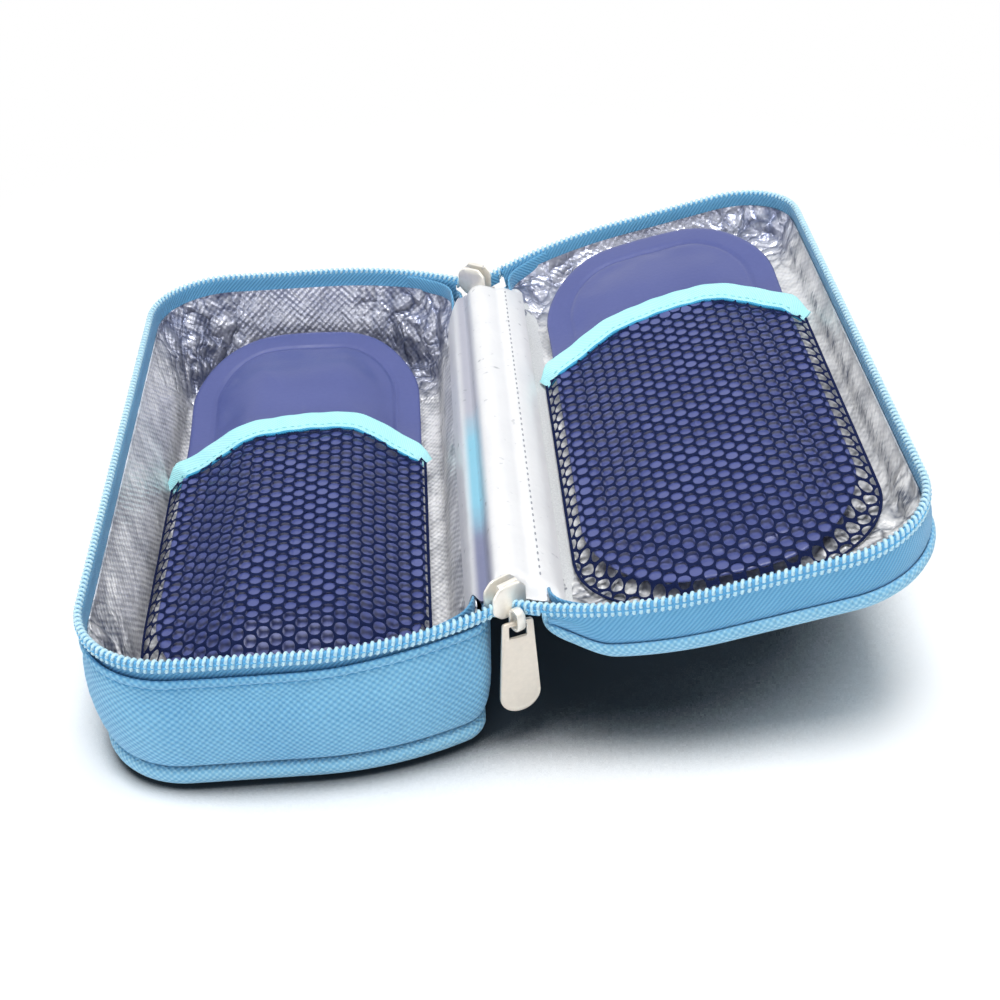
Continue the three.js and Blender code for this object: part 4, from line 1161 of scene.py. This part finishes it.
def build_net(half):
    """A knitted net: six-sided cells laid over the pack, each a ring of yarn that slopes in to its hole, and
    a cord along the sewn edge."""
    at = room(half)
    _, _, _, near, far = NETS[half]
    border, hole = net_cell()
    row, col = np.meshgrid(np.arange(-2, 64), np.arange(-2, 15), indexing="ij")
    middle_u = near + (col + 0.5 * (row % 2)) * NET_WIDE
    middle = np.stack([middle_u, NET_FRONT + row * NET_LONG / 2], -1).reshape(-1, 2)
    outside = np.linalg.norm(middle - into_pocket(half, middle), axis=-1)
    middle = middle[outside < 1.2]
    middle = middle[np.argsort(np.abs(middle - (NET_U, -20)).sum(-1), kind="stable")]
    outer = into_pocket(half, middle[:, None] + border)
    inner = into_pocket(half, middle[:, None] + hole, NET_MARGIN)
    cells = np.stack([outer, inner, outer], 1)
    wobble = ripples(np.concatenate([cells, np.zeros_like(cells[..., :1])], -1), 9.0, 71)
    high = drape(half, cells[..., 0], cells[..., 1]) + 0.12 * wobble + NET_YARN * np.array([[1], [0], [-1]])
    yarn = grid_part(at(cells[..., 0], cells[..., 1], high), True, True)

    quarter = np.linspace(0, np.pi / 2, 20)
    round_front = NET_CORNER * np.stack([np.cos(quarter), -np.sin(quarter)], -1)
    outer = np.array([far - NET_CORNER, NET_FRONT + NET_CORNER]) + round_front
    inner = np.array([near + NET_CORNER, NET_FRONT + NET_CORNER]) + round_front[::-1] * (-1, 1)
    first, last = ([(u, mouth(half, u) - BINDING_DROP)] for u in (far, near))
    edge = np.concatenate([first, outer, inner, last])
    edge, _ = even(edge, 1.6)
    line = at(edge[:, 0], edge[:, 1], drape(half, edge[:, 0], edge[:, 1]))
    hem = tube_part(line, upright_of(at), oval(0.6, 0.5, 8))
    net = make_piece(half + "_net", [yarn, hem], net_yarn, half, [half + "_mesh_pocket"], crease=80)


def build_binding(half):
    """The folded tape round the pocket's mouth, drawn thin at its tucked ends, with one row of stitches."""
    at = room(half)
    _, _, _, near, far = NETS[half]
    u = np.linspace(near - BINDING_OVER, far + BINDING_OVER, 110)[::-1 if half == "base" else 1]
    y = mouth(half, u) - BINDING_DROP
    pleat = 0.18 * np.sin(u * 0.9) + 0.15 * np.sin(u * 0.37 + 1)
    from_end = np.minimum(u - u.min(), u.max() - u)
    tuck = 1 - smooth(from_end / BINDING_TUCK_RUN)
    high = drape(half, u, y) + BINDING_LIFT + pleat * 0.5 - 0.9 * tuck
    line = at(u, y + 0.25 * np.sin(u * 0.21), high)
    up = at(0, -0.4, 0.92) - at(0, 0, 0)
    _, side, upright = axes_along(line, up)
    narrow, thin = (1 - 0.35 * tuck)[:, None], (1 - 0.4 * tuck)[:, None]
    grid = carried(line, side * narrow, upright * thin, BINDING_SECTION)
    around = lengths(BINDING_SECTION, closed=True)
    band = grid_part(grid, False, True, around, lengths(line, closed=True), ends=True)
    make_piece(half + "_binding", [band], binding_tape, half, [half + "_pocket_binding"],
               crease=80)
    seam = line + side * 1.4 + upright * 0.64
    make_piece(half + "_binding_stitches", [stitch_part(seam[5:-5], up, 1.5, 0.16, pitch=2.1)],
               binding_thread, half, crease=80)


# Sliders

# Shield plates, and the post and the lip that join them.
SHIELD_HALF = 4.7
SHIELD_TALL = 4.5
SHIELD = np.array([
    (-SHIELD_HALF, -2.2), (-2.3, -SHIELD_TALL), (2.3, -SHIELD_TALL), (SHIELD_HALF, -2.2),
    (SHIELD_HALF, 2.2), (2.6, SHIELD_TALL), (-2.6, SHIELD_TALL), (-SHIELD_HALF, 2.2)])
PLATE_NEAR = 1.4
PLATE_FAR = 2.2
POST_HALF = (1.2, 0.3)
LIP_PLACE = (-0.95, 4.3)
BAIL_SECTION = oval(2.2, 0.8, 16, 0.45)

# Pull tab, measured from the axis that it hangs on.
PULL_TOP = 0.55
PULL_LENGTH = 27.0
PULL_HEAD = 3.9
PULL_ROUND = 5.1
PULL_WINDOW = (2.2, 1.75)
PULL_WINDOW_MIDDLE = -2.3


def rounded(corners, radius, steps=5):
    """A polygon whose corners are rounded by a short curve that starts and ends radius away from them."""
    back = unit(np.roll(corners, 1, 0) - corners)
    on = unit(np.roll(corners, -1, 0) - corners)
    t = np.linspace(0, 1, steps)[None, :, None]
    a, b, c = (corners + back * radius)[:, None], (corners + on * radius)[:, None], corners[:, None]
    return ((1 - t) ** 2 * a + 2 * t * (1 - t) * c + t * t * b).reshape(-1, 2)


def shield_plate(near, far, roof, place):
    """A slider's plate: the rounded shield between two depths, with soft edges and a roofed outer face."""
    loop = rounded(SHIELD, 0.9)
    step = np.sign(far - near)
    rows = [(0.02, near, 0), (0.9, near, 0), (0.98, near + step * 0.1, 0), (1.0, near + step * 0.25, 0),
            (1.0, far - step * 0.3, 0), (0.97, far - step * 0.1, 0), (0.9, far, 0.1), (0.6, far, 0.4),
            (0.3, far, 0.7), (0.02, far, 1.0)]
    share, depth, rise = (np.array(c)[:, None] for c in zip(*rows))
    x, z = loop[None, :, 0] * share, loop[None, :, 1] * share
    y = depth + step * roof * np.where(rise > 0, 1 - np.abs(x) / SHIELD_HALF, 0) * np.minimum(1, rise * 5)
    return grid_part(place(x, y, z), False, True, ends=True)


def build_slider(end, name):
    """A zip slider: two shield plates joined by a post, a bail on the outer one and a pull tab hung in it."""
    place = slider_at(end)
    plates = [shield_plate(-PLATE_NEAR, -PLATE_FAR, 0.35, place),
              shield_plate(PLATE_NEAR, PLATE_FAR, 0.45, place)]
    post = rounded(np.array([(-1, -1), (1, -1), (1, 1), (-1, 1)]) * POST_HALF, 0.15)
    depth = np.array([-1.6, 0.0, 1.6])[:, None]
    plates.append(grid_part(place(post[None, :, 0], depth, post[None, :, 1]), False, True, ends=True))
    lip = oval(1.2, 0.8, 12, 0.5) + LIP_PLACE
    x = np.array([-2.6, -2.4, 2.4, 2.6])[:, None]
    plates.append(grid_part(place(x, lip[None, :, 0], lip[None, :, 1]), False, True, ends=True))
    body = name + "_slider"
    make_piece(body + "_shield", plates, bright_nickel, body, [body + "_body"])

    t = np.linspace(0, np.pi, 18)
    over = np.stack([np.cos(t), np.sin(t)], -1)
    out = np.concatenate([over, -over])
    ends = np.repeat([(BAIL_Y, BAIL_HIGH), (BAIL_Y, BAIL_LOW)], len(t), axis=0)
    loop = ends + BAIL_ROUND * out
    across, thick = BAIL_SECTION.T
    y = loop[:, :1] + thick * out[:, :1]
    z = loop[:, 1:] + thick * out[:, 1:]
    bail = grid_part(place(across, y, z), True, True)
    make_piece(body + "_loop", [bail], bright_nickel, body, [body + "_bail"])
    build_pull(place, name, end * PULL_TWIST)


def build_pull(place, name, twist):
    """A pull tab: a long plate that widens to a round end, its window at the top, soft edges and a
    shallow bare field inside a raised border. It hangs in the bail turned by twist."""
    t = np.linspace(np.pi, TAU, 40)
    round_h = PULL_TOP - PULL_LENGTH + PULL_ROUND
    bottom = np.stack([PULL_ROUND * np.cos(t), round_h + PULL_ROUND * np.sin(t)], -1)
    corners = np.array([(1, 0), (-1, 0), (-1, -2), (1, -2)]) * (PULL_HEAD, 1) + (0, PULL_TOP)
    head = rounded(corners, 0.9, 6)[:12]
    outer, _ = even(np.concatenate([head, bottom]), 0.5, True)
    middle = np.array([0, PULL_WINDOW_MIDDLE])
    ray = unit(outer - middle)
    hole = middle + ray * (PULL_WINDOW / np.maximum(np.abs(ray), 1e-6)).min(-1, keepdims=True)
    span = np.linalg.norm(outer - hole, axis=-1)
    front = [(0.0, -0.24), (0.06, -0.34), (0.2, -0.4), (0.85, -0.4), (1.1, -0.34), (1.3, -0.34), (1.6, -0.34)]
    near_hole = [(-1.3, -0.34), (-1.05, -0.34), (-0.85, -0.34), (-0.62, -0.4), (-0.15, -0.4), (0.0, -0.28)]
    run = np.array(front + near_hole)
    run = np.concatenate([run, run[::-1] * (1, -1)])
    from_hole = np.tile(np.arange(len(front) + len(near_hole)) >= len(front), 2)
    from_hole[len(from_hole) // 2:] = from_hole[:len(from_hole) // 2][::-1]
    inwards = np.abs(run[:, :1])
    part_way = inwards / span
    share = np.where(from_hole[:, None], np.minimum(part_way, 0.45), np.maximum(1 - part_way, 0.55))
    spot = hole[None] + (outer - hole)[None] * share[..., None]
    cos, sin = np.cos(twist), np.sin(twist)
    grid = place(spot[..., 0] * cos - run[:, 1:] * sin, BAIL_Y + spot[..., 0] * sin + run[:, 1:] * cos,
                 BAIL_LOW + spot[..., 1])
    make_piece(name + "_pull", [grid_part(grid, True, True)], pull_nickel, name + "_pull",
               [name + "_pull_tab"], crease=35)


# Assembly

build_base_wall()
build_foot()
build_lid_panel()
build_zip()
build_liner("base", BASE_LINER, base_foil, 101)
build_liner("lid", LID_LINER, lid_foil, 131)
build_spine()
build_padding("base", ["base_foam_bottom", "base_foam_wall"])
build_padding("lid", ["lid_foam"])
for half_name in HALVES:
    build_pack(half_name)
    build_net(half_name)
    build_binding(half_name)
build_slider(-1, "front")
build_slider(1, "rear")


# Stage, light and camera

FLOOR_HALF = 4000.0
FLOOR_WHITE = (0.97, 0.97, 0.97)
FLOOR_SHADOW = (0.015, 0.024, 0.034)
AMBIENT = 0.25


def build_floor():
    """A wide pale floor, flat under the case: near the case it takes shadow, deepest where little light gets
    in, and further off it goes over into plain white for the camera and for mirrors."""
    line = np.linspace(-FLOOR_HALF, FLOOR_HALF, 9)
    x, y = np.meshgrid(line, line, indexing="ij")
    white = Finish("floor_white", FLOOR_WHITE, 0.9)
    open_sky = white.node("ShaderNodeAmbientOcclusion", {"samples": 16}, {"Distance": 0.1}, "AO")
    white.feed("Base Color", white.mix(white.rise(open_sky, 0.38, 0.64), FLOOR_SHADOW, FLOOR_WHITE))
    away = white.node("ShaderNodeVectorMath", {"operation": "DISTANCE"}, {
        0: white.place(), 1: (HINGE_X * MM, 0, 0)}, "Value")
    far = white.rise(away, 0.16, 0.34)
    seen = white.ray("Is Camera Ray") + white.ray("Is Glossy Ray") + white.ray("Is Transmission Ray")
    seen = seen.as_("MINIMUM", 1.0)
    glow = white.node("ShaderNodeEmission", {}, {"Color": (1, 1, 1, 1), "Strength": 1.0})
    lit = Value(white, white.shader.outputs[0])
    both = white.node("ShaderNodeMixShader", {}, {0: far * seen, 1: lit, 2: glow})
    white.join(white.tree.nodes["Material Output"].inputs["Surface"], both)
    mesh = bpy.data.meshes.new("floor")
    points = np.stack([x, y, np.zeros_like(x)], -1) * MM
    cells = grid_part(points)[1][0][0]
    mesh.from_pydata(points.reshape(-1, 3).tolist(), [], cells.tolist())
    mesh.materials.append(white.material)
    floor = bpy.data.objects.new("floor", mesh)
    bpy.context.scene.collection.objects.link(floor)


def add_lamp(name, place, aim, size, power):
    """A square soft lamp at place, facing aim; places in millimetres, power in watts."""
    lamp = bpy.data.lights.new(name, "AREA")
    lamp.shape, lamp.size, lamp.energy = "SQUARE", size, power
    holder = bpy.data.objects.new(name, lamp)
    holder.location = Vector(place) * MM
    holder.rotation_euler = (Vector(aim) - Vector(place)).to_track_quat("-Z", "Y").to_euler()
    bpy.context.scene.collection.objects.link(holder)


def light_world():
    """White to the camera. Mirrors see the same white round the sides and back and a dimmer room in front;
    everything else takes a plain soft light from it."""
    world = bpy.data.worlds.new("studio")
    bpy.context.scene.world = world
    world.use_nodes = True
    sky = Nodes(world.node_tree)
    shade = sky.tree.nodes["Background"]
    shade.inputs["Color"].default_value = (1, 1, 1, 1)
    way = sky.split(sky.node("ShaderNodeTexCoord", {}, {}, "Generated"))[1]
    mirrored = sky.rise(way, -0.9, -0.1, 0.12, 1.0)
    inputs = {"Factor": sky.ray("Is Glossy Ray"), "A": AMBIENT, "B": mirrored}
    unseen = sky.node("ShaderNodeMix", {}, inputs)
    inputs = {"Factor": sky.ray("Is Camera Ray"), "A": unseen, "B": 1.0}
    sky.join(shade.inputs["Strength"], sky.node("ShaderNodeMix", {}, inputs))


CAMERA_PLACE = (41.26, -380.65, 276.58)
CAMERA_PITCH = np.radians(34.60)
CAMERA_YAW = np.radians(1.654)
CAMERA_ROLL = np.radians(-2.679)
CAMERA_LENS = 59.74


def set_camera():
    """The photograph's view: pitched down, turned and rolled a little about the line of sight."""
    ahead = Vector((np.sin(CAMERA_YAW) * np.cos(CAMERA_PITCH), np.cos(CAMERA_YAW) * np.cos(CAMERA_PITCH),
                    -np.sin(CAMERA_PITCH)))
    right = Vector((np.cos(CAMERA_YAW), -np.sin(CAMERA_YAW), 0))
    up = right.cross(ahead)
    across = right * np.cos(CAMERA_ROLL) + up * np.sin(CAMERA_ROLL)
    upright = up * np.cos(CAMERA_ROLL) - right * np.sin(CAMERA_ROLL)
    turn = Matrix((across, upright, -ahead)).transposed().to_4x4()
    camera = bpy.data.cameras.new("camera")
    camera.lens, camera.sensor_width, camera.sensor_fit = CAMERA_LENS, 36.0, "HORIZONTAL"
    camera.clip_start, camera.clip_end = 0.01, 50.0
    holder = bpy.data.objects.new("camera", camera)
    holder.matrix_world = Matrix.Translation(Vector(CAMERA_PLACE) * MM) @ turn
    bpy.context.scene.collection.objects.link(holder)
    bpy.context.scene.camera = holder


build_floor()
FILL_AIM = (40, 0, 20)
add_lamp("overhead", (100, -400, 3000), (50, 0, 20), 1.2, 67.0)
add_lamp("front_fill", (-700, -2700, 900), FILL_AIM, 1.6, 25.0)
add_lamp("left_fill", (-2600, 200, 1100), FILL_AIM, 1.6, 12.0)
add_lamp("right_fill", (2700, 200, 1300), FILL_AIM, 1.6, 15.0)
light_world()
set_camera()
bpy.context.scene.view_settings.view_transform = "Standard"
